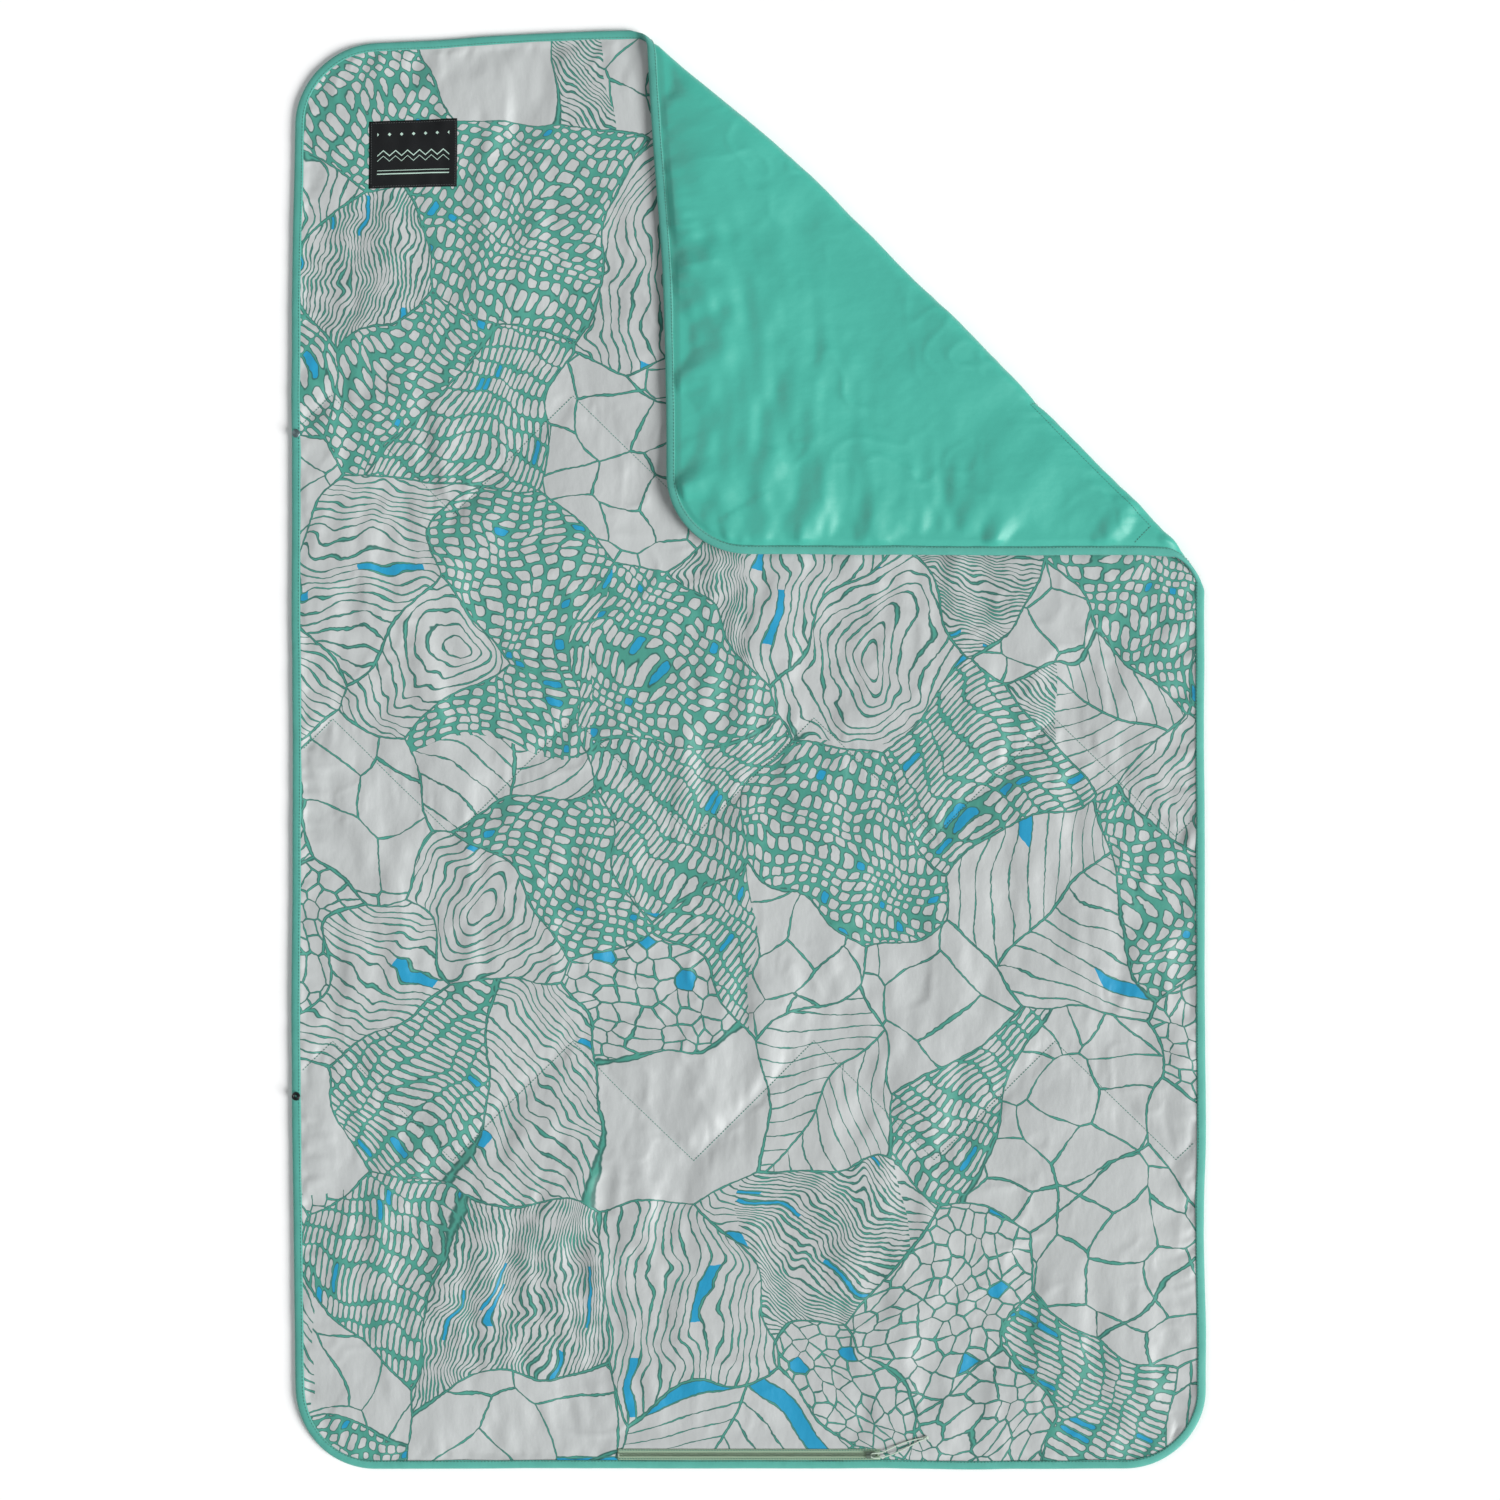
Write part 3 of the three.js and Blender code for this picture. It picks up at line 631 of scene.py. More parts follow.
def printed_taffeta():
    """Polyester taffeta, woven plain, calendered and screen printed: a smooth grey cloth with a soft
    silky light on it, and flat matt ink whose lines have a darker edge."""
    material, tree, place = new_material("printed_polyester_taffeta")

    # A hand's unsteadiness: broad bends of whole patches, then the shake of a line.
    bent = swayed(tree, place, place, 170.0, 110.0)
    drawn = swayed(tree, place, bent, 9.0, 3.2)

    # Patches, each with its own middle, heading and pattern.
    patch_settings = {"Vector": drawn, "Scale": 1.0 / PATCH_SIZE, "Exponent": 4.0}
    squared = {"voronoi_dimensions": "2D", "distance": "MINKOWSKI"}
    patch = node(tree, "TexVoronoi", patch_settings, **squared)
    second = node(tree, "TexVoronoi", patch_settings, feature="F2", **squared)
    rim = node(tree, "Math", {0: (second, "Distance"), 1: (patch, "Distance")}, operation="SUBTRACT")
    rim = node(tree, "Math", {0: rim, 1: 0.5 * PATCH_SIZE}, operation="MULTIPLY")
    dice = node(tree, "SeparateColor", {0: (patch, "Color")})
    chosen = node(tree, "TexWhiteNoise", {"Vector": (patch, "Position")}, noise_dimensions="2D")
    local = node(tree, "VectorMath", {0: drawn, 1: (patch, "Position")}, operation="SUBTRACT")
    quarter = node(tree, "Math", {0: (dice, 0), 1: 4.0}, operation="MULTIPLY")
    quarter = node(tree, "Math", {0: quarter}, operation="ROUND")
    quarter = node(tree, "Math", {0: quarter, 1: math.pi / 2.0}, operation="MULTIPLY")
    lean = node(tree, "Math", {0: (dice, 1), 1: 0.9, 2: quarter}, operation="MULTIPLY_ADD")
    local = node(tree, "VectorRotate", {"Vector": local, "Angle": lean}, rotation_type="Z_AXIS")
    split = node(tree, "SeparateXYZ", {0: local})

    scales = pattern_ramp(tree, chosen, lambda p: (p["pitch"] / 100, p["cross"] / 100, p["ink"] / 10))
    kinds = ("straight", "rings", "ribs")
    runs = pattern_ramp(tree, chosen, lambda p: tuple(float(p["lines"] == kind) for kind in kinds))
    webs = pattern_ramp(
        tree,
        chosen,
        lambda p: (p.get("web", 50.0) / 100, float("web" in p), float(p.get("divided", False))),
    )
    scales = node(tree, "SeparateColor", {0: scales})
    webs = node(tree, "SeparateColor", {0: webs})
    pitch = node(tree, "Math", {0: (scales, 0), 1: 100.0}, operation="MULTIPLY")
    cross = node(tree, "Math", {0: (scales, 1), 1: 100.0}, operation="MULTIPLY")

    # How far a place is across the lines, for lines that run straight, in rings and as ribs.
    sway = node(tree, "TexNoise", {"Vector": local, "Scale": 1.0 / 60.0, "Detail": 1.0})
    sway = node(tree, "Math", {0: (sway, 0), 1: 46.0}, operation="MULTIPLY")
    straight = node(tree, "Math", {0: (split, 1), 1: sway}, operation="ADD")
    oval = node(tree, "VectorMath", {0: local, 1: (0.62, 1.0, 0.0)}, operation="MULTIPLY")
    rings = node(tree, "VectorMath", {0: oval}, operation="LENGTH")
    rings = node(tree, "Math", {0: (rings, "Value"), 1: sway}, operation="ADD")
    beside = node(tree, "Math", {0: (split, 1)}, operation="ABSOLUTE")
    ribs = node(tree, "Math", {0: beside, 1: 0.8, 2: (split, 0)}, operation="MULTIPLY_ADD")
    ways = node(tree, "CombineXYZ", {0: straight, 1: rings, 2: ribs})
    across = node(tree, "VectorMath", {0: ways, 1: runs}, operation="DOT_PRODUCT"), "Value"

    # Distance to the nearest line, and to the nearest divider, which shifts from row to row.
    half_pitch = node(tree, "Math", {0: pitch, 1: 0.5}, operation="MULTIPLY")
    to_line = node(tree, "Math", {0: across, 1: half_pitch}, operation="PINGPONG")
    row = node(tree, "Math", {0: across, 1: pitch}, operation="DIVIDE")
    row = node(tree, "Math", {0: row}, operation="FLOOR")
    shift = node(tree, "TexWhiteNoise", {"W": row}, noise_dimensions="1D")
    shifted = {0: (shift, "Value"), 1: cross, 2: (split, 0)}
    along = node(tree, "Math", shifted, operation="MULTIPLY_ADD")
    half_cross = node(tree, "Math", {0: cross, 1: 0.5}, operation="MULTIPLY")
    to_divider = node(tree, "Math", {0: along, 1: half_cross}, operation="PINGPONG")
    undivided = node(tree, "Math", {0: 1.0, 1: (webs, 2)}, operation="SUBTRACT")
    to_divider = node(tree, "Math", {0: undivided, 1: 900.0, 2: to_divider}, operation="MULTIPLY_ADD")

    # Ink is thick and thin by turns. Rounding where two lines meet makes the cells pebble-shaped.
    press = node(tree, "TexNoise", {"Vector": place, "Scale": 1.0 / 26.0, "Detail": 2.0})
    press = node(tree, "Math", {0: (press, 0), 1: 18.0, 2: -1.0}, operation="MULTIPLY_ADD")
    ink = node(tree, "Math", {0: (scales, 2), 1: press}, operation="MULTIPLY")
    ink = node(tree, "Math", {0: ink, 1: 0.45}, operation="SUBTRACT")
    reach = node(tree, "Math", {0: ink, 1: CELL_ROUNDING}, operation="ADD")
    corner_parts = []
    for distance in (to_line, to_divider):
        part = node(tree, "Math", {0: reach, 1: distance}, operation="SUBTRACT")
        corner_parts.append(node(tree, "Math", {0: part, 1: 0.0}, operation="MAXIMUM"))
    corner = node(tree, "CombineXYZ", {0: corner_parts[0], 1: corner_parts[1]})
    corner = node(tree, "VectorMath", {0: corner}, operation="LENGTH")
    lined = node(tree, "Math", {0: (corner, "Value"), 1: CELL_ROUNDING}, operation="SUBTRACT")

    web_size = node(tree, "Math", {0: (webs, 0), 1: 100.0}, operation="MULTIPLY")
    web_scale = node(tree, "Math", {0: 1.0, 1: web_size}, operation="DIVIDE")
    web_settings = {"Vector": drawn, "Scale": web_scale, "Randomness": 0.9}
    in_plane = {"voronoi_dimensions": "2D"}
    web_rim = node(tree, "TexVoronoi", web_settings, feature="DISTANCE_TO_EDGE", **in_plane)
    web_cell = node(tree, "TexVoronoi", web_settings, **in_plane)
    web_rim = node(tree, "Math", {0: (web_rim, "Distance"), 1: web_size}, operation="MULTIPLY")
    webbed = node(tree, "Math", {0: ink, 1: web_rim}, operation="SUBTRACT")
    depth = node(tree, "Mix", {0: (webs, 1), 2: lined, 3: webbed})

    # The thick line round each patch, and the midrib of each leaf.
    edge_ink = node(tree, "Math", {0: press, 1: 0.16, 2: 0.1}, operation="MULTIPLY_ADD")
    edge = node(tree, "Math", {0: edge_ink, 1: rim}, operation="SUBTRACT")
    run_split = node(tree, "SeparateColor", {0: runs})
    midrib = node(tree, "Math", {0: MIDRIB_HALF_WIDTH, 1: beside}, operation="SUBTRACT")
    not_leaf = node(tree, "Math", {0: (run_split, 2), 1: -400.0, 2: 400.0}, operation="MULTIPLY_ADD")
    midrib = node(tree, "Math", {0: midrib, 1: not_leaf}, operation="SUBTRACT")
    depth = node(tree, "Math", {0: depth, 1: edge}, operation="MAXIMUM")
    depth = node(tree, "Math", {0: depth, 1: midrib}, operation="MAXIMUM")
    inked = node(tree, "MapRange", {0: depth, 1: -0.25, 2: 0.25}, interpolation_type="SMOOTHSTEP")
    body = node(tree, "MapRange", {0: depth, 1: 0.5, 2: 1.3}, interpolation_type="SMOOTHSTEP")

    # A few cells and slivers between lines are filled with blue.
    column = node(tree, "Math", {0: along, 1: cross}, operation="DIVIDE")
    column = node(tree, "Math", {0: column}, operation="FLOOR")
    cell = node(tree, "CombineXYZ", {0: row, 1: column, 2: (chosen, "Value")})
    cell_dice = node(tree, "TexWhiteNoise", {"Vector": cell}, noise_dimensions="3D")
    web_dice = node(tree, "SeparateColor", {0: (web_cell, "Color")})
    fill_dice = node(tree, "Mix", {0: (webs, 1), 2: (cell_dice, "Value"), 3: (web_dice, 0)})
    has_ink = node(tree, "Math", {0: (scales, 2), 1: 0.01}, operation="GREATER_THAN")
    blue = node(tree, "Math", {0: fill_dice, 1: 1.0 - BLUE_SHARE}, operation="GREATER_THAN")
    blue = node(tree, "Math", {0: blue, 1: has_ink}, operation="MULTIPLY")

    ground = mottled(tree, place, "#BDC1C0", "#B4B8B8", 240.0)
    colour = node(tree, "Mix", {0: blue, 6: ground, 7: linear("#1594BE")}, data_type="RGBA")
    inks = {0: body, 6: linear("#2F675E"), 7: linear("#449484")}
    ink_colour = node(tree, "Mix", inks, data_type="RGBA")
    colour = node(tree, "Mix", {0: inked, 6: (colour, 2), 7: (ink_colour, 2)}, data_type="RGBA")
    bump = weave_bump(tree, place, TAFFETA_THREAD, 0.02, crinkle=1.1, crinkle_size=17.0)
    finish_material(tree, (colour, 2), bump, 0.5, Sheen_Weight=0.25, Sheen_Roughness=0.4)
    return material


def plain_taffeta():
    """Polyester taffeta, piece dyed and calendered: clear green with a silky light on its folds."""
    material, tree, place = new_material("dyed_polyester_taffeta")
    colour = mottled(tree, place, "#48B4A2", "#40A896", 260.0)
    bump = weave_bump(tree, place, TAFFETA_THREAD, 0.02, crinkle=1.1, crinkle_size=22.0)
    finish_material(tree, colour, bump, 0.47, Sheen_Weight=0.15, Sheen_Roughness=0.35)
    return material


def binding_weave():
    """Polyester ribbon, woven plain, folded and pressed: a flat matt tape, duller than the back."""
    material, tree, place = new_material("woven_polyester_binding")
    colour = mottled(tree, place, "#52AB9D", "#469D8F", 30.0)
    # Ribs of the ribbon are 0.4 mm apart, and drawn at 0.9 mm so that they show.
    bump = weave_bump(tree, place, 0.9, 0.06, crinkle=0.3, crinkle_size=7.0)
    finish_material(tree, colour, bump, 0.62, Sheen_Weight=0.2)
    return material


def spun_thread(name, light, dark):
    """Polyester sewing thread, spun and twisted: a dull line that its twist breaks into dashes."""
    material, tree, place = new_material(name)
    twist = node(tree, "VectorMath", {0: place, 1: (1.0, 1.0, 0.0)}, operation="DOT_PRODUCT")
    twist = node(tree, "Math", {0: (twist, "Value"), 1: 0.35}, operation="PINGPONG")
    twist = node(tree, "Math", {0: twist, 1: 2.5}, operation="MULTIPLY")
    # The dark colour in the twist's grooves is painted shade, and the light colour on its crowns is
    # painted highlight.
    colour = node(tree, "Mix", {0: twist, 6: linear(dark), 7: linear(light)}, data_type="RGBA")
    bump = node(tree, "Bump", {"Height": twist, "Distance": 0.05 * MM, "Strength": 0.8})
    finish_material(tree, (colour, 2), bump, 0.55, Sheen_Weight=0.3)
    return material


def fibre_batting():
    """Polyester fibre, carded into batting: white, matt and woolly."""
    material, tree, place = new_material("carded_polyester_batting")
    tufts = node(tree, "TexNoise", {"Vector": place, "Scale": 1.0 / 6.0, "Detail": 4.0})
    bump = node(tree, "Bump", {"Height": tufts, "Distance": 1.2 * MM})
    colour = mottled(tree, place, "#F4F4F0", "#E6E6E0", 20.0)
    finish_material(tree, colour, bump, 0.95, Sheen_Weight=0.5)
    return material


def damask_label(width, height):
    """Polyester damask, jacquard woven: a black satin ground and a raised pale figure. The figure is
    a plain ornament of diamonds, a double zigzag and two rules."""
    material, tree, place = new_material("woven_polyester_damask")
    split = node(tree, "SeparateXYZ", {0: place})
    spacing = width * 0.0683
    zig = node(tree, "Math", {0: (split, 0), 1: spacing}, operation="PINGPONG")

    # A row of diamonds, a double zigzag and two rules: each line's slope, level and half width.
    level = node(tree, "Math", {0: (split, 1), 1: 0.30 * height}, operation="SUBTRACT")
    level = node(tree, "Math", {0: level}, operation="ABSOLUTE")
    diamond = node(tree, "Math", {0: zig, 1: level}, operation="ADD")
    figure = node(tree, "Math", {0: 2.2, 1: diamond}, operation="SUBTRACT")
    for slope, level, half_line in (
        (0.9, -0.02, 0.75), (0.9, -0.10, 0.45), (0.0, -0.24, 0.4), (0.0, -0.29, 0.7),
    ):
        line = node(tree, "Math", {0: zig, 1: slope, 2: level * height}, operation="MULTIPLY_ADD")
        line = node(tree, "Math", {0: (split, 1), 1: line}, operation="SUBTRACT")
        line = node(tree, "Math", {0: line}, operation="ABSOLUTE")
        line = node(tree, "Math", {0: half_line, 1: line}, operation="SUBTRACT")
        figure = node(tree, "Math", {0: figure, 1: line}, operation="MAXIMUM")

    # The figure stops short of the label's sides.
    margin = node(tree, "Math", {0: (split, 0)}, operation="ABSOLUTE")
    margin = node(tree, "Math", {0: width * 0.41, 1: margin}, operation="SUBTRACT")
    figure = node(tree, "Math", {0: figure, 1: margin}, operation="MINIMUM")
    raised = node(tree, "MapRange", {0: figure, 1: -0.12, 2: 0.12}, interpolation_type="SMOOTHSTEP")
    ground = mottled(tree, place, "#121517", "#0C0E10", 12.0)
    colour = node(tree, "Mix", {0: raised, 6: ground, 7: linear("#B9D6C8")}, data_type="RGBA")
    bump = weave_bump(tree, place, 0.7, 0.05)
    bump = node(tree, "Bump", {"Height": raised, "Distance": 0.15 * MM, "Normal": bump})
    finish_material(tree, (colour, 2), bump, 0.75, Specular_IOR_Level=0.25)
    return material


def zip_tape_weave():
    """Polyester tape, woven in herringbone and dyed sage: fine lines along a dry, matt face."""
    material, tree, place = new_material("herringbone_zip_tape")
    split = node(tree, "SeparateXYZ", {0: place})
    ridge = node(tree, "Math", {0: (split, 1), 1: 0.8}, operation="PINGPONG")
    ridge = node(tree, "Math", {0: ridge, 1: 1.25}, operation="MULTIPLY")
    # The lighter colour on the weave's ridges is painted highlight, and the darker colour in its
    # grooves is painted shade.
    shades = {0: ridge, 6: linear("#7E9A80"), 7: linear("#9DB49B")}
    colour = node(tree, "Mix", shades, data_type="RGBA")
    bump = weave_bump(tree, place, 0.8, 0.04)
    bump = node(tree, "Bump", {"Height": ridge, "Distance": 0.15 * MM, "Normal": bump})
    finish_material(tree, (colour, 2), bump, 0.8, Sheen_Weight=0.2)
    return material


def nylon_filament():
    """Nylon, drawn into a thick filament and coiled: slightly see-through, smooth and waxy."""
    material, tree, place = new_material("drawn_nylon_filament")
    colour = mottled(tree, place, "#A9BCA5", "#98AD96", 4.0)
    finish_material(tree, colour, None, 0.38, IOR=1.53)
    return material


def lining_weave():
    """Polyester lining, woven plain: thin, grey and soft."""
    material, tree, place = new_material("plain_polyester_lining")
    colour = mottled(tree, place, "#BCC2C1", "#B0B6B5", 90.0)
    # Threads are 0.2 mm apart on the real lining, and drawn at 1 mm so that they show.
    bump = weave_bump(tree, place, 1.0, 0.03, crinkle=0.4)
    finish_material(tree, colour, bump, 0.7, Sheen_Weight=0.2)
    return material


def braided_cord():
    """Polyester cord, braided over a core: small diagonal plaits and a dry surface."""
    material, tree, _ = new_material("braided_polyester_cord")
    place = node(tree, "TexCoord")
    plaits = node(tree, "TexVoronoi", {"Vector": (place, "Object"), "Scale": 1400.0})
    shades = {0: (plaits, "Distance"), 6: linear("#CBDACB"), 7: linear("#A9BCAA")}
    colour = node(tree, "Mix", shades, data_type="RGBA")
    bump = node(tree, "Bump", {"Height": (plaits, "Distance"), "Distance": 0.12 * MM, "Strength": 0.7})
    finish_material(tree, (colour, 2), bump, 0.75, Sheen_Weight=0.3)
    return material


def lacquered_zinc(name, light, dark, roughness, metallic):
    """Zinc or brass, cast or stamped and lacquered: an even skin with faint pits in two shades."""
    material, tree, _ = new_material(name)
    place = node(tree, "TexCoord")
    pits = node(tree, "TexNoise", {"Vector": (place, "Object"), "Scale": 900.0, "Detail": 3.0})
    colour = node(tree, "Mix", {0: pits, 6: linear(dark), 7: linear(light)}, data_type="RGBA")
    bump = node(tree, "Bump", {"Height": pits, "Distance": 0.04 * MM, "Strength": 0.5})
    finish_material(tree, (colour, 2), bump, roughness, Metallic=metallic, Coat_Weight=0.3)
    return material


# ---------------------------------------------------------------- camera, light and floor

# The square of ground that the camera takes in, in metres.
SEEN_WIDTH = 1.8635
SEEN_MIDDLE = (0.0019, -0.0006)
FLOOR_HALF = 25.0


def set_camera():
    """Looking straight down with +Y upwards, from far enough to take in the whole blanket."""
    camera = bpy.data.objects.new("camera", bpy.data.cameras.new("camera"))
    bpy.context.scene.collection.objects.link(camera)
    camera.data.sensor_width = 36.0
    camera.data.lens = 100.0
    distance = SEEN_WIDTH * camera.data.lens / camera.data.sensor_width
    camera.location = (*SEEN_MIDDLE, distance + FOLD_HEIGHT * MM)
    camera.data.clip_end = 30.0
    bpy.context.scene.camera = camera


def add_light(name, softness, strength, bearing, elevation):
    """A broad light far enough away to fall evenly: bearing runs from +X towards +Y, in degrees."""
    light = bpy.data.lights.new(name, "SUN")
    light.angle = math.radians(softness)
    light.energy = strength
    lamp = bpy.data.objects.new(name, light)
    bearing = math.radians(bearing)
    rise = math.radians(elevation)
    level = math.cos(rise)
    away = Vector((level * math.cos(bearing), level * math.sin(bearing), math.sin(rise)))
    lamp.location = 4.0 * away
    lamp.rotation_euler = (-away).to_track_quat("-Z", "Y").to_euler()
    bpy.context.scene.collection.objects.link(lamp)


def set_studio():
    """A white studio: a strong light from the right, a weak one from the left, and a pale floor."""
    add_light("right_light", softness=34.0, strength=4.1, bearing=-26.0, elevation=33.0)
    add_light("left_light", softness=40.0, strength=0.6, bearing=158.0, elevation=45.0)
    world = bpy.data.worlds.new("studio")
    world.use_nodes = True
    surroundings = world.node_tree.nodes["Background"]
    surroundings.inputs["Color"].default_value = linear("#FCFDFF")
    surroundings.inputs["Strength"].default_value = 0.23
    bpy.context.scene.world = world
    bpy.context.scene.view_settings.view_transform = "Standard"

    material = bpy.data.materials.new("painted_studio_floor")
    material.use_nodes = True
    shader = material.node_tree.nodes["Principled BSDF"]
    shader.inputs["Base Color"].default_value = linear("#FBFBFB")
    shader.inputs["Roughness"].default_value = 0.9
    signs = ((-1, -1), (1, -1), (1, 1), (-1, 1))
    corners = [(x * FLOOR_HALF, y * FLOOR_HALF, 0.0) for x, y in signs]
    mesh = bpy.data.meshes.new("studio_floor")
    mesh.from_pydata(corners, [], [(0, 1, 2, 3)])
    mesh.materials.append(material)
    floor = bpy.data.objects.new("studio_floor", mesh)
    bpy.context.scene.collection.objects.link(floor)


# ---------------------------------------------------------------- pull cord

CORD_RADIUS = 0.8
# Heights of the cord's middle line: in the slider's arch, over the coils and on the face.
ARCH_HEIGHT = 15.0
OVER_COILS = 13.7
ON_FACE = 12.1
KNOT_PLACE = (66.0, 21.0)
KNOT_TURN = math.radians(20.0)
# The cord's route from the slider's arch to its knot and back, measured from the slider's middle.
CORD_ROUTE = [
    (0.0, 0.0, ARCH_HEIGHT),
    (0.35, 1.2, ARCH_HEIGHT),
    (1.4, 2.3, ARCH_HEIGHT),
    (3.6, 2.8, ARCH_HEIGHT),
    (8.0, 3.1, ARCH_HEIGHT - 0.4),
    (15.0, 4.2, OVER_COILS),
    (24.0, 8.4, ON_FACE + 0.8),
    (40.0, 15.2, ON_FACE),
    (54.0, 19.4, ON_FACE),
    (64.0, 21.6, ON_FACE + 0.3),
    (68.5, 23.3, ON_FACE + 0.8),
    (71.2, 22.6, ON_FACE + 0.9),
    (69.0, 20.6, ON_FACE + 0.8),
    (64.5, 19.2, ON_FACE + 0.3),
    (54.0, 14.4, ON_FACE),
    (40.0, 7.2, ON_FACE + 0.7),
    (30.0, 2.8, OVER_COILS),
    (24.0, 0.6, OVER_COILS),
    (15.0, -2.0, OVER_COILS + 0.2),
    (8.0, -3.0, ARCH_HEIGHT - 0.4),
    (3.6, -2.8, ARCH_HEIGHT),
    (1.4, -2.3, ARCH_HEIGHT),
    (0.35, -1.2, ARCH_HEIGHT),
    (0.0, 0.0, ARCH_HEIGHT),
]


def make_pull_cord():
    """The braided cord as one curve, and the knot that joins its ends."""
    cord_finish = braided_cord()
    curve = bpy.data.curves.new("pull_cord_braid", "CURVE")
    curve.dimensions = "3D"
    curve.bevel_depth = CORD_RADIUS * MM
    curve.bevel_resolution = 4
    curve.resolution_u = 8
    spline = curve.splines.new("BEZIER")
    spline.bezier_points.add(len(CORD_ROUTE) - 1)
    for point, (x, y, z) in zip(spline.bezier_points, CORD_ROUTE):
        point.co = ((SLIDER_X + x) * MM, (ZIP_Y + y) * MM, z * MM)
        point.handle_left_type = "AUTO"
        point.handle_right_type = "AUTO"
    curve.materials.append(cord_finish)
    cord = bpy.data.objects.new("pull_cord_braid", curve)
    bpy.context.scene.collection.objects.link(cord)
    bpy.context.view_layer.update()

    # A small overhand knot, drawn up tight: a three-lobed loop pressed long and narrow.
    turns = np.linspace(0.0, 2.0 * math.pi, 72, endpoint=False)
    ahead = 3.0 + (np.sin(turns) + 2.0 * np.sin(2.0 * turns)) * 0.78
    aside = (np.cos(turns) - 2.0 * np.cos(2.0 * turns)) * 0.42
    over = -np.sin(3.0 * turns) * 0.7
    cosine, sine = math.cos(KNOT_TURN), math.sin(KNOT_TURN)
    loop_x = SLIDER_X + KNOT_PLACE[0] + ahead * cosine - aside * sine
    loop_y = ZIP_Y + KNOT_PLACE[1] + ahead * sine + aside * cosine
    loop = np.stack([loop_x, loop_y, over + ON_FACE + 1.1], axis=-1)
    knot = looped_tube("pull_cord_overhand_knot", loop, CORD_RADIUS, 10, [cord_finish])

    stands_for(cord, "cord", "pull_cord", body="pull")
    stands_for(knot, "cord", "pull_cord_knot", body="pull")


# ---------------------------------------------------------------- pieces of the quilt

def closed_slab(name, x, y, low, high, materials, flat_middle=(0.0, 0.0)):
    """A closed piece between two height fields over one grid, laid out with the quilt."""
    rows, columns = x.shape
    count = rows * columns
    top = lay_out(x, y, high).reshape(-1, 3)
    bottom = lay_out(x, y, low).reshape(-1, 3)
    index = np.arange(count).reshape(rows, columns)
    rim = np.concatenate([index[0, :-1], index[:-1, -1], index[-1, :0:-1], index[:0:-1, 0]])
    after = np.roll(rim, -1)
    walls = np.stack([rim + count, after + count, after, rim], axis=-1)
    upper = grid_faces(rows, columns)
    lower = grid_faces(rows, columns, flip=True) + count
    flat = np.stack([x - flat_middle[0], y - flat_middle[1]], axis=-1).reshape(-1, 2)
    points = np.concatenate([top, bottom])
    faces = np.concatenate([upper, lower, walls])
    return mesh_object(name, points, faces, materials, np.concatenate([flat, flat]))


# A stitch is a short thread with round sections: share of its length, share of the thread's radius,
# and height over the cloth.
THREAD_RADIUS = 0.42
THREAD_SIDES = 6
STITCH_RINGS = (
    (0.0, 0.35, -0.45), (0.10, 0.9, 0.0), (0.35, 1.0, 0.22),
    (0.65, 1.0, 0.22), (0.90, 0.9, 0.0), (1.0, 0.35, -0.45),
)


def sewn_line(path, surface, pitch, length, upward=1.0):
    """Separate stitches along a path in the flat: points, faces and flat places. surface gives the
    cloth's height, pitch is from one stitch to the next, length is a stitch's own, and upward is -1
    on the side that faces down in the flat."""
    path = np.asarray(path, float)
    steps = np.hypot(*np.diff(path, axis=0).T)
    travelled = np.concatenate([[0.0], np.cumsum(steps)])
    starts = np.arange(0.5 * pitch, travelled[-1] - pitch, pitch)
    share, radius, lift = np.array(STITCH_RINGS).T
    places = starts[:, None] + share[None, :] * length
    x = np.interp(places, travelled, path[:, 0])
    y = np.interp(places, travelled, path[:, 1])
    heading_x = np.gradient(x, axis=1)
    heading_y = np.gradient(y, axis=1)
    size = np.hypot(heading_x, heading_y)
    turns = 2.0 * math.pi * np.arange(THREAD_SIDES) / THREAD_SIDES
    beside = THREAD_RADIUS * radius[None, :, None] * np.cos(turns)[None, None, :]
    above = THREAD_RADIUS * radius[None, :, None] * np.sin(turns)[None, None, :]
    ring_x = x[..., None] - (heading_y / size)[..., None] * beside
    ring_y = y[..., None] + (heading_x / size)[..., None] * beside
    ring_z = surface(x, y)[..., None] + upward * (lift[None, :, None] + above)
    count = len(share) * THREAD_SIDES
    # A stitch has two ends, so the faces from its last ring back to its first are left out.
    sides = sweep_faces(len(share), THREAD_SIDES)[:-THREAD_SIDES]
    last = count - THREAD_SIDES
    ends = [(3, 2, 1, 0), (5, 4, 3, 0)]
    ends += [(last, last + 1, last + 2, last + 3), (last, last + 3, last + 4, last + 5)]
    template = np.concatenate([sides, ends])
    if upward > 0:
        template = template[:, ::-1]
    faces = (np.arange(len(starts))[:, None, None] * count + template).reshape(-1, 4)
    points = lay_out(ring_x.ravel(), ring_y.ravel(), ring_z.ravel())
    return points, faces, np.stack([ring_x.ravel(), ring_y.ravel()], axis=-1)


def stitches_piece(name, runs, thread):
    """Several runs of stitches as one piece."""
    points = np.concatenate([run[0] for run in runs])
    flats = np.concatenate([run[2] for run in runs])
    offsets = np.cumsum([0] + [len(run[0]) for run in runs[:-1]])
    faces = np.concatenate([run[1] + offset for run, offset in zip(runs, offsets)])
    return mesh_object(name, points, faces, [thread], flats)


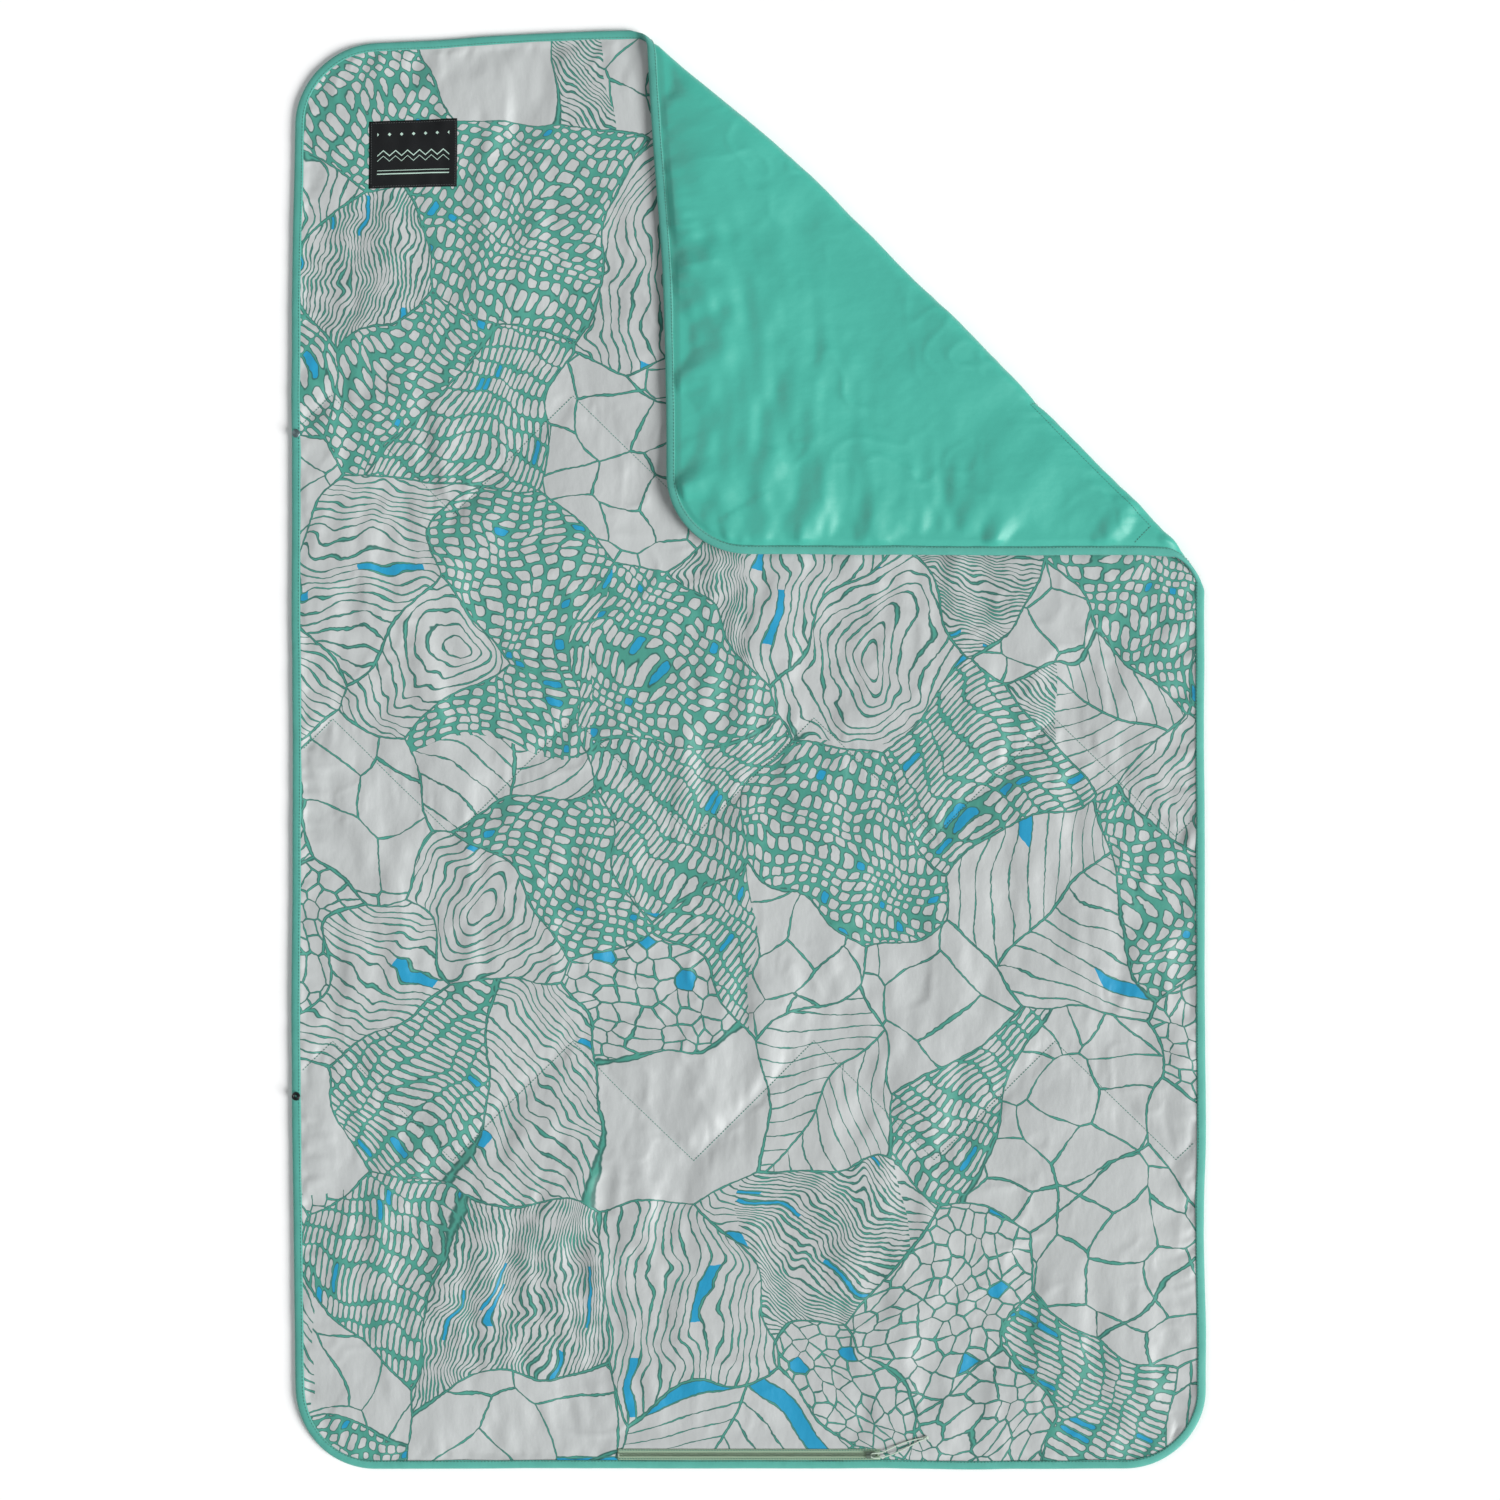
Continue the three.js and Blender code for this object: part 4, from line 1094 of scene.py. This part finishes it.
def make_shells(quilt):
    """The printed face, with a slot for the zip, and the plain back."""
    printed = printed_taffeta()
    plain = plain_taffeta()
    rows, columns = quilt.x.shape
    flat = np.stack([quilt.x, quilt.y], axis=-1).reshape(-1, 2)

    faces = grid_faces(rows, columns)
    middle = flat[faces].mean(axis=1)
    slot_half_length = ZIP_HALF_LENGTH - 6.0
    slot_half_width = 4.2
    beside = np.abs(middle - (0.0, ZIP_Y))
    in_slot = (beside[:, 0] < slot_half_length) & (beside[:, 1] < slot_half_width)
    faces = faces[~in_slot]
    used = np.unique(faces)
    renumber = np.zeros(len(flat), int)
    renumber[used] = np.arange(len(used))
    points = lay_out(quilt.x, quilt.y, quilt.face).reshape(-1, 3)[used]
    face = mesh_object("face_sheet", points, renumber[faces], [printed], flat[used])
    stands_for(face, "printed_face", "face_shell", "corner_face_shell")

    points = lay_out(quilt.x, quilt.y, quilt.back).reshape(-1, 3)
    back = mesh_object("back_sheet", points, grid_faces(rows, columns, flip=True), [plain], flat)
    stands_for(back, "back_fabric", "back_shell", "corner_back_shell")
    return face, back


# The batting: grid steps in from the shells' edge, room left to each shell and to the pocket bag,
# and half of its least thickness.
FILL_INSET = 7
FILL_MARGIN = 0.25
POCKET_ROOM = 1.6
FILL_HALF_LEAST = 0.05


def lowest_nearby(field):
    """The lowest value within a few grid steps, so that a coarser surface stays under the field."""
    for axis in (0, 1):
        margins = [(0, 0), (0, 0)]
        margins[axis] = (CLOTH_CUTS, CLOTH_CUTS)
        padded = np.pad(field, margins, mode="edge")
        windows = np.lib.stride_tricks.sliding_window_view(padded, 2 * CLOTH_CUTS + 1, axis=axis)
        field = windows.min(axis=-1)
    return field


def make_fill(quilt):
    """The batting: a coarser slab that stays between the shells and gives way to the pocket."""
    inner = (slice(FILL_INSET, -FILL_INSET, CLOTH_CUTS),) * 2
    x, y = quilt.x[inner], quilt.y[inner]
    top = lowest_nearby(quilt.face)[inner] - FILL_MARGIN - POCKET_ROOM * pocket_nearness(x, y)
    bottom = -lowest_nearby(-quilt.back)[inner] + FILL_MARGIN
    middle = (top + bottom) / 2.0
    top = np.maximum(top, middle + FILL_HALF_LEAST)
    bottom = np.minimum(bottom, middle - FILL_HALF_LEAST)
    fill = closed_slab("batting", x, y, bottom, top, [fibre_batting()])
    stands_for(fill, "fill", "fill_batting", "corner_fill_batting")


def pocket_nearness(x, y):
    """1 over the pocket bag, fading to 0 about 12 mm away."""
    low, high = box_mm("pocket_bag")
    beyond = np.maximum.reduce([low[0] - x, x - high[0], y - high[1]])
    return 1.0 - smooth(0.0, 12.0, beyond)


def outline_path(step):
    """Places round the quilt's outline and the way out from each."""
    inner_x = HALF_WIDTH - CORNER_RADIUS
    inner_y = HALF_LENGTH - CORNER_RADIUS
    places = []
    corners = [
        (inner_x, inner_y, 0.0),
        (-inner_x, inner_y, 90.0),
        (-inner_x, -inner_y, 180.0),
        (inner_x, -inner_y, 270.0),
    ]
    for number, (centre_x, centre_y, start) in enumerate(corners):
        arc_steps = round(0.5 * math.pi * CORNER_RADIUS / step)
        for turn in np.radians(np.linspace(start, start + 90.0, arc_steps + 1)):
            out = (math.cos(turn), math.sin(turn))
            place = (centre_x + CORNER_RADIUS * out[0], centre_y + CORNER_RADIUS * out[1])
            places.append((*place, *out))
        next_x, next_y, _ = corners[(number + 1) % 4]
        here = places[-1]
        run = math.hypot(next_x - centre_x, next_y - centre_y)
        for share in np.linspace(0.0, 1.0, round(run / step) + 1)[1:-1]:
            place = (here[0] + (next_x - centre_x) * share, here[1] + (next_y - centre_y) * share)
            places.append((*place, here[2], here[3]))
    return np.array(places)


# The folded tape in section: how far in from the outline, and the height. Round the outside from the
# face side to the back, then home along the inside.
TAPE_SECTION = np.array([
    (11.0, 7.6), (10.6, 8.05), (8.5, 8.3), (5.5, 8.2), (2.8, 7.7), (1.0, 6.9), (0.0, 5.5),
    (1.0, 4.1), (2.8, 3.3), (5.5, 2.8), (8.5, 2.7), (10.6, 2.95), (11.0, 3.4),
    (10.4, 3.6), (8.0, 3.35), (5.0, 3.55), (2.6, 4.3), (1.3, 5.5),
    (2.6, 6.7), (5.0, 7.45), (8.0, 7.65), (10.4, 7.4),
])
SEAM_INSET = 9.3
SEAM_ON_FACE = 8.32
SEAM_ON_BACK = 2.68


def tape_ripple(x, y):
    """The tape rides up and down a little where the quilt gathers under it."""
    return 0.35 * value_noise(x, y, 21.0, 61) + 0.2 * value_noise(x, y, 8.0, 62)


def make_binding():
    """The tape folded over the edge all round, and its topstitching on both sides."""
    path = outline_path(3.0)
    inset = TAPE_SECTION[None, :, 0]
    # The tape's inner edges wander a little.
    edge_wave = 0.5 * value_noise(path[:, 0], path[:, 1], 33.0, 63)[:, None]
    inset = inset + edge_wave * smooth(5.0, 11.0, inset)
    x = path[:, 0:1] - path[:, 2:3] * inset
    y = path[:, 1:2] - path[:, 3:4] * inset
    z = TAPE_SECTION[None, :, 1] + tape_ripple(x, y)
    points = lay_out(x, y, z).reshape(-1, 3)
    faces = sweep_faces(len(path), len(TAPE_SECTION))
    flat = np.stack([x, y], axis=-1).reshape(-1, 2)
    binding = mesh_object("edge_binding", points, faces, [binding_weave()], flat)
    stands_for(binding, "binding", "binding_tape", "corner_binding_tape")

    seam = path[:, :2] - path[:, 2:] * SEAM_INSET
    seam = np.concatenate([seam, seam[:1]])
    upper = sewn_line(seam, lambda x, y: SEAM_ON_FACE + tape_ripple(x, y), 4.2, 3.1)
    lower = sewn_line(seam, lambda x, y: SEAM_ON_BACK + tape_ripple(x, y), 4.2, 3.1, upward=-1.0)
    thread = spun_thread("teal_polyester_thread", "#4C9A8A", "#2F6F62")
    stitches = stitches_piece("edge_binding_stitches", [upper, lower], thread)
    stands_for(stitches, "thread", "binding_stitching", "corner_binding_stitching")
    return binding, stitches, thread


def make_quilting(quilt, thread):
    """Three zigzag rows of stitches through all layers, seen on both shells."""
    rows = []
    end = box_mm("quilt_stitching_2")[1][0]
    for row_number, row_y in QUILT_ROWS.items():
        turns = np.arange(QUILT_VALLEY_X - QUILT_PERIOD, end, QUILT_PERIOD / 2.0)
        across = np.concatenate([[-end], turns[turns > -end], [end]])
        path = np.stack([across, row_y + zigzag(across)], axis=-1)
        face = sewn_line(path, lambda x, y: quilt.height(quilt.face, x, y) + 0.1, 3.9, 2.9)
        back = sewn_line(
            path, lambda x, y: quilt.height(quilt.back, x, y) - 0.1, 3.9, 2.9, upward=-1.0
        )
        row = stitches_piece(f"quilting_row_{row_number}", [face, back], thread)
        if row_number == 1:
            stands_for(row, "thread", "quilt_stitching_1", "corner_quilt_stitching")
        else:
            stands_for(row, "thread", f"quilt_stitching_{row_number}", body="blanket")
        rows.append(row)
    return rows


def make_label(quilt):
    """The woven label, turned in at its edges and sewn on all round."""
    low, high = box_mm("label_patch")
    middle = (low + high) / 2.0
    width = high[0] - low[0]
    height = high[1] - low[1]
    x, y = np.meshgrid(np.linspace(low[0], high[0], 45), np.linspace(low[1], high[1], 35))
    under = quilt.height(quilt.face, x, y)
    rim = np.minimum(np.minimum(x - low[0], high[0] - x), np.minimum(y - low[1], high[1] - y))
    rolled = 0.45 * (1.0 - smooth(0.0, 2.5, rim))
    bottom = under + 0.15
    top = under + 0.95 - rolled
    label = closed_slab("woven_label", x, y, bottom, top, [damask_label(width, height)], middle)
    stands_for(label, "label", "label_patch", body="blanket")

    inset = 2.6
    left, bottom = low[:2] + inset
    right, top = high[:2] - inset
    path = [(left, bottom), (right, bottom), (right, top), (left, top), (left, bottom)]
    seam = sewn_line(path, lambda x, y: quilt.height(quilt.face, x, y) + 1.0, 3.2, 2.4)
    thread = spun_thread("black_polyester_thread", "#33393B", "#181B1D")
    stitches = stitches_piece("woven_label_stitches", [seam], thread)
    stands_for(stitches, "label_thread", "label_stitching", body="blanket")
    return label, stitches


def make_zip(thread):
    """Two tapes, each with its coil and its seam, and the stops at the coils' ends."""
    tape_finish = zip_tape_weave()
    coil_finish = nylon_filament()
    pieces = []
    for side in ("upper", "lower"):
        low, high = box_mm(f"zip_tape_{side}")
        x, y = np.meshgrid(np.linspace(low[0], high[0], 165), np.linspace(low[1], high[1], 9))
        ripple = 0.12 * value_noise(x, y, 26.0, 33) + 0.05 * value_noise(x, y, 7.0, 34)
        bottom = low[2] + ripple
        top = high[2] + ripple
        tape = closed_slab(f"zip_ribbon_{side}", x, y, bottom, top, [tape_finish])
        stands_for(tape, "zip_tape", f"zip_tape_{side}", body="blanket")

        low, high = box_mm(f"zip_coil_{side}")
        teeth = make_coil(f"zip_filament_{side}", low, high, coil_finish)
        stands_for(teeth, "zip_coil", f"zip_coil_{side}", body="blanket")

        low, high = box_mm(f"zip_stitching_{side}")
        seam_y = (low[1] + high[1]) / 2.0
        path = [(low[0], seam_y), (high[0], seam_y)]
        seam = sewn_line(path, lambda x, y: np.full_like(x, ZIP_HIGH[2] + 0.15), 3.4, 2.5)
        stitches = stitches_piece(f"zip_seam_{side}", [seam], thread)
        stands_for(stitches, "thread", f"zip_stitching_{side}", body="blanket")
        pieces += [tape, teeth, stitches]
    for side in ("left", "right"):
        soften_cad(f"zip_stop_{side}", coil_finish, 0.3)
    return pieces


# The zip's coils: spacing of their loops, the filament's radius, and how finely both are rounded.
COIL_PITCH = 1.3
COIL_WIRE = 0.3
COIL_LOOP_STEPS = 12
COIL_WIRE_SIDES = 8


def make_coil(name, low, high, finish):
    """The turns of one filament coil: a row of small upright loops."""
    middle = (low + high) / 2.0
    reach = (high - low) / 2.0 - COIL_WIRE
    loop_turns = 2.0 * math.pi * np.arange(COIL_LOOP_STEPS) / COIL_LOOP_STEPS
    wire_turns = 2.0 * math.pi * np.arange(COIL_WIRE_SIDES) / COIL_WIRE_SIDES
    loop, ring = np.meshgrid(loop_turns, wire_turns, indexing="ij")
    x = COIL_WIRE * np.sin(ring) + 0.25 * COIL_PITCH * np.sin(loop)
    y = middle[1] + (reach[1] + COIL_WIRE * np.cos(ring)) * np.cos(loop)
    z = middle[2] + (reach[2] + COIL_WIRE * np.cos(ring)) * np.sin(loop)
    template = np.stack([x, y, z], axis=-1).reshape(-1, 3)
    faces = sweep_faces(COIL_LOOP_STEPS, COIL_WIRE_SIDES)
    count = int((high[0] - low[0]) / COIL_PITCH)
    shifts = low[0] + COIL_PITCH * (np.arange(count) + 0.5)
    points = np.concatenate([template + (shift, 0.0, 0.0) for shift in shifts])
    all_faces = np.concatenate([faces + number * len(template) for number in range(count)])
    return mesh_object(name, points, all_faces, [finish], points[:, :2])


def soften_cad(cad_node, finish, rounding):
    """A CAD piece that keeps its shape, with its edges broken and a real finish."""
    piece = frame["nodes"][cad_node]
    piece.data.materials.clear()
    piece.data.materials.append(finish)
    bevel = piece.modifiers.new("broken_edges", "BEVEL")
    bevel.width = rounding * MM
    bevel.segments = 3
    bevel.limit_method = "ANGLE"
    bevel.angle_limit = math.radians(35.0)


def make_pocket(quilt):
    """One length of lining folded at the pocket's foot, so that it lies in two layers."""
    low, high = box_mm("pocket_bag")
    half_gap = 0.4
    foot = high[1] - half_gap
    along = np.linspace(low[1], foot, 40)
    turn = np.radians(np.linspace(-90.0, 90.0, 7)[1:-1])
    section_y = np.concatenate([along, foot + half_gap * np.cos(turn), along[::-1]])
    rise = np.concatenate([np.full(40, -1.0), np.sin(turn), np.full(40, 1.0)])
    x, y = np.meshgrid(np.linspace(low[0], high[0], 60), section_y)
    # The bag hangs this far under the face and under its CAD middle.
    under = 1.2
    under_face = quilt.height(lowest_nearby(quilt.face), x, y) - under
    z = half_gap * rise[:, None] + np.minimum((low[2] + high[2]) / 2.0 - under, under_face)
    points = lay_out(x, y, z).reshape(-1, 3)
    flat = np.stack([x, y], axis=-1).reshape(-1, 2)
    bag = mesh_object("pocket_lining", points, grid_faces(*x.shape), [lining_weave()], flat)
    stands_for(bag, "pocket_fabric", "pocket_bag", body="blanket")


# The turned parts of the snaps in section: radius, and height over the part's lowest point.
SNAP_SECTIONS = {
    "snap_cap": [
        (0.0, 0.0), (1.5, 0.0), (1.5, 6.0), (4.85, 6.0), (5.15, 6.12),
        (5.25, 6.4), (5.2, 6.8), (4.95, 7.2), (4.5, 7.5), (3.9, 7.72),
        (3.3, 7.8), (3.1, 7.72), (2.9, 7.8), (1.7, 8.08), (0.0, 8.2),
    ],
    "snap_socket": [
        (1.8, 2.4), (1.75, 2.0), (1.8, 1.6), (2.9, 1.45), (3.0, 1.3), (3.0, 0.15), (3.2, 0.0),
        (4.5, 0.0), (4.85, 0.3), (5.0, 0.7), (5.0, 1.8), (4.8, 2.2), (4.3, 2.4),
    ],
    "ring_snap_ring": [
        (2.2, 0.1), (2.3, 0.0), (4.9, 0.0), (5.25, 0.2), (5.4, 0.6), (5.38, 1.0), (5.2, 1.45),
        (4.8, 1.8), (4.2, 1.98), (3.4, 1.95), (2.7, 1.75), (2.35, 1.45), (2.2, 1.0),
    ],
    "ring_snap_eyelet": [
        (1.2, 0.15), (1.35, 0.0), (4.5, 0.0), (4.75, 0.2), (4.8, 0.5), (4.7, 0.8),
        (2.1, 1.0), (1.9, 1.2), (1.9, 6.5), (1.75, 6.6), (1.3, 6.6), (1.2, 6.45),
    ],
}


def make_snaps():
    """The grey cap and its socket, and the black ring snap half and its eyelet."""
    grey = lacquered_zinc("lacquered_brass_snap", "#72868A", "#5C6F70", 0.38, 0.75)
    black = lacquered_zinc("enamelled_brass_snap", "#1C1F21", "#121416", 0.32, 0.35)
    for cad_node, section in SNAP_SECTIONS.items():
        low, high = box_mm(cad_node)
        x, y = (low[:2] + high[:2]) / 2.0
        profile = [(radius, low[2] + rise) for radius, rise in section]
        is_black = cad_node.startswith("ring")
        piece = turned(f"turned_{cad_node}", profile, x, y, [black if is_black else grey])
        stands_for(piece, "snap_black" if is_black else "snap_metal", cad_node, body="blanket")


set_camera()
make_pull_cord()
set_studio()
quilt = Quilt()
face_sheet, back_sheet = make_shells(quilt)
make_fill(quilt)
edge_binding, edge_stitches, teal_thread = make_binding()
quilting_rows = make_quilting(quilt, teal_thread)
label, label_stitches = make_label(quilt)
zip_pieces = make_zip(teal_thread)
make_pocket(quilt)
make_snaps()
slider_finish = lacquered_zinc("lacquered_zinc_slider", "#8B9C8C", "#75867A", 0.4, 0.7)
soften_cad("zip_slider", slider_finish, 0.25)
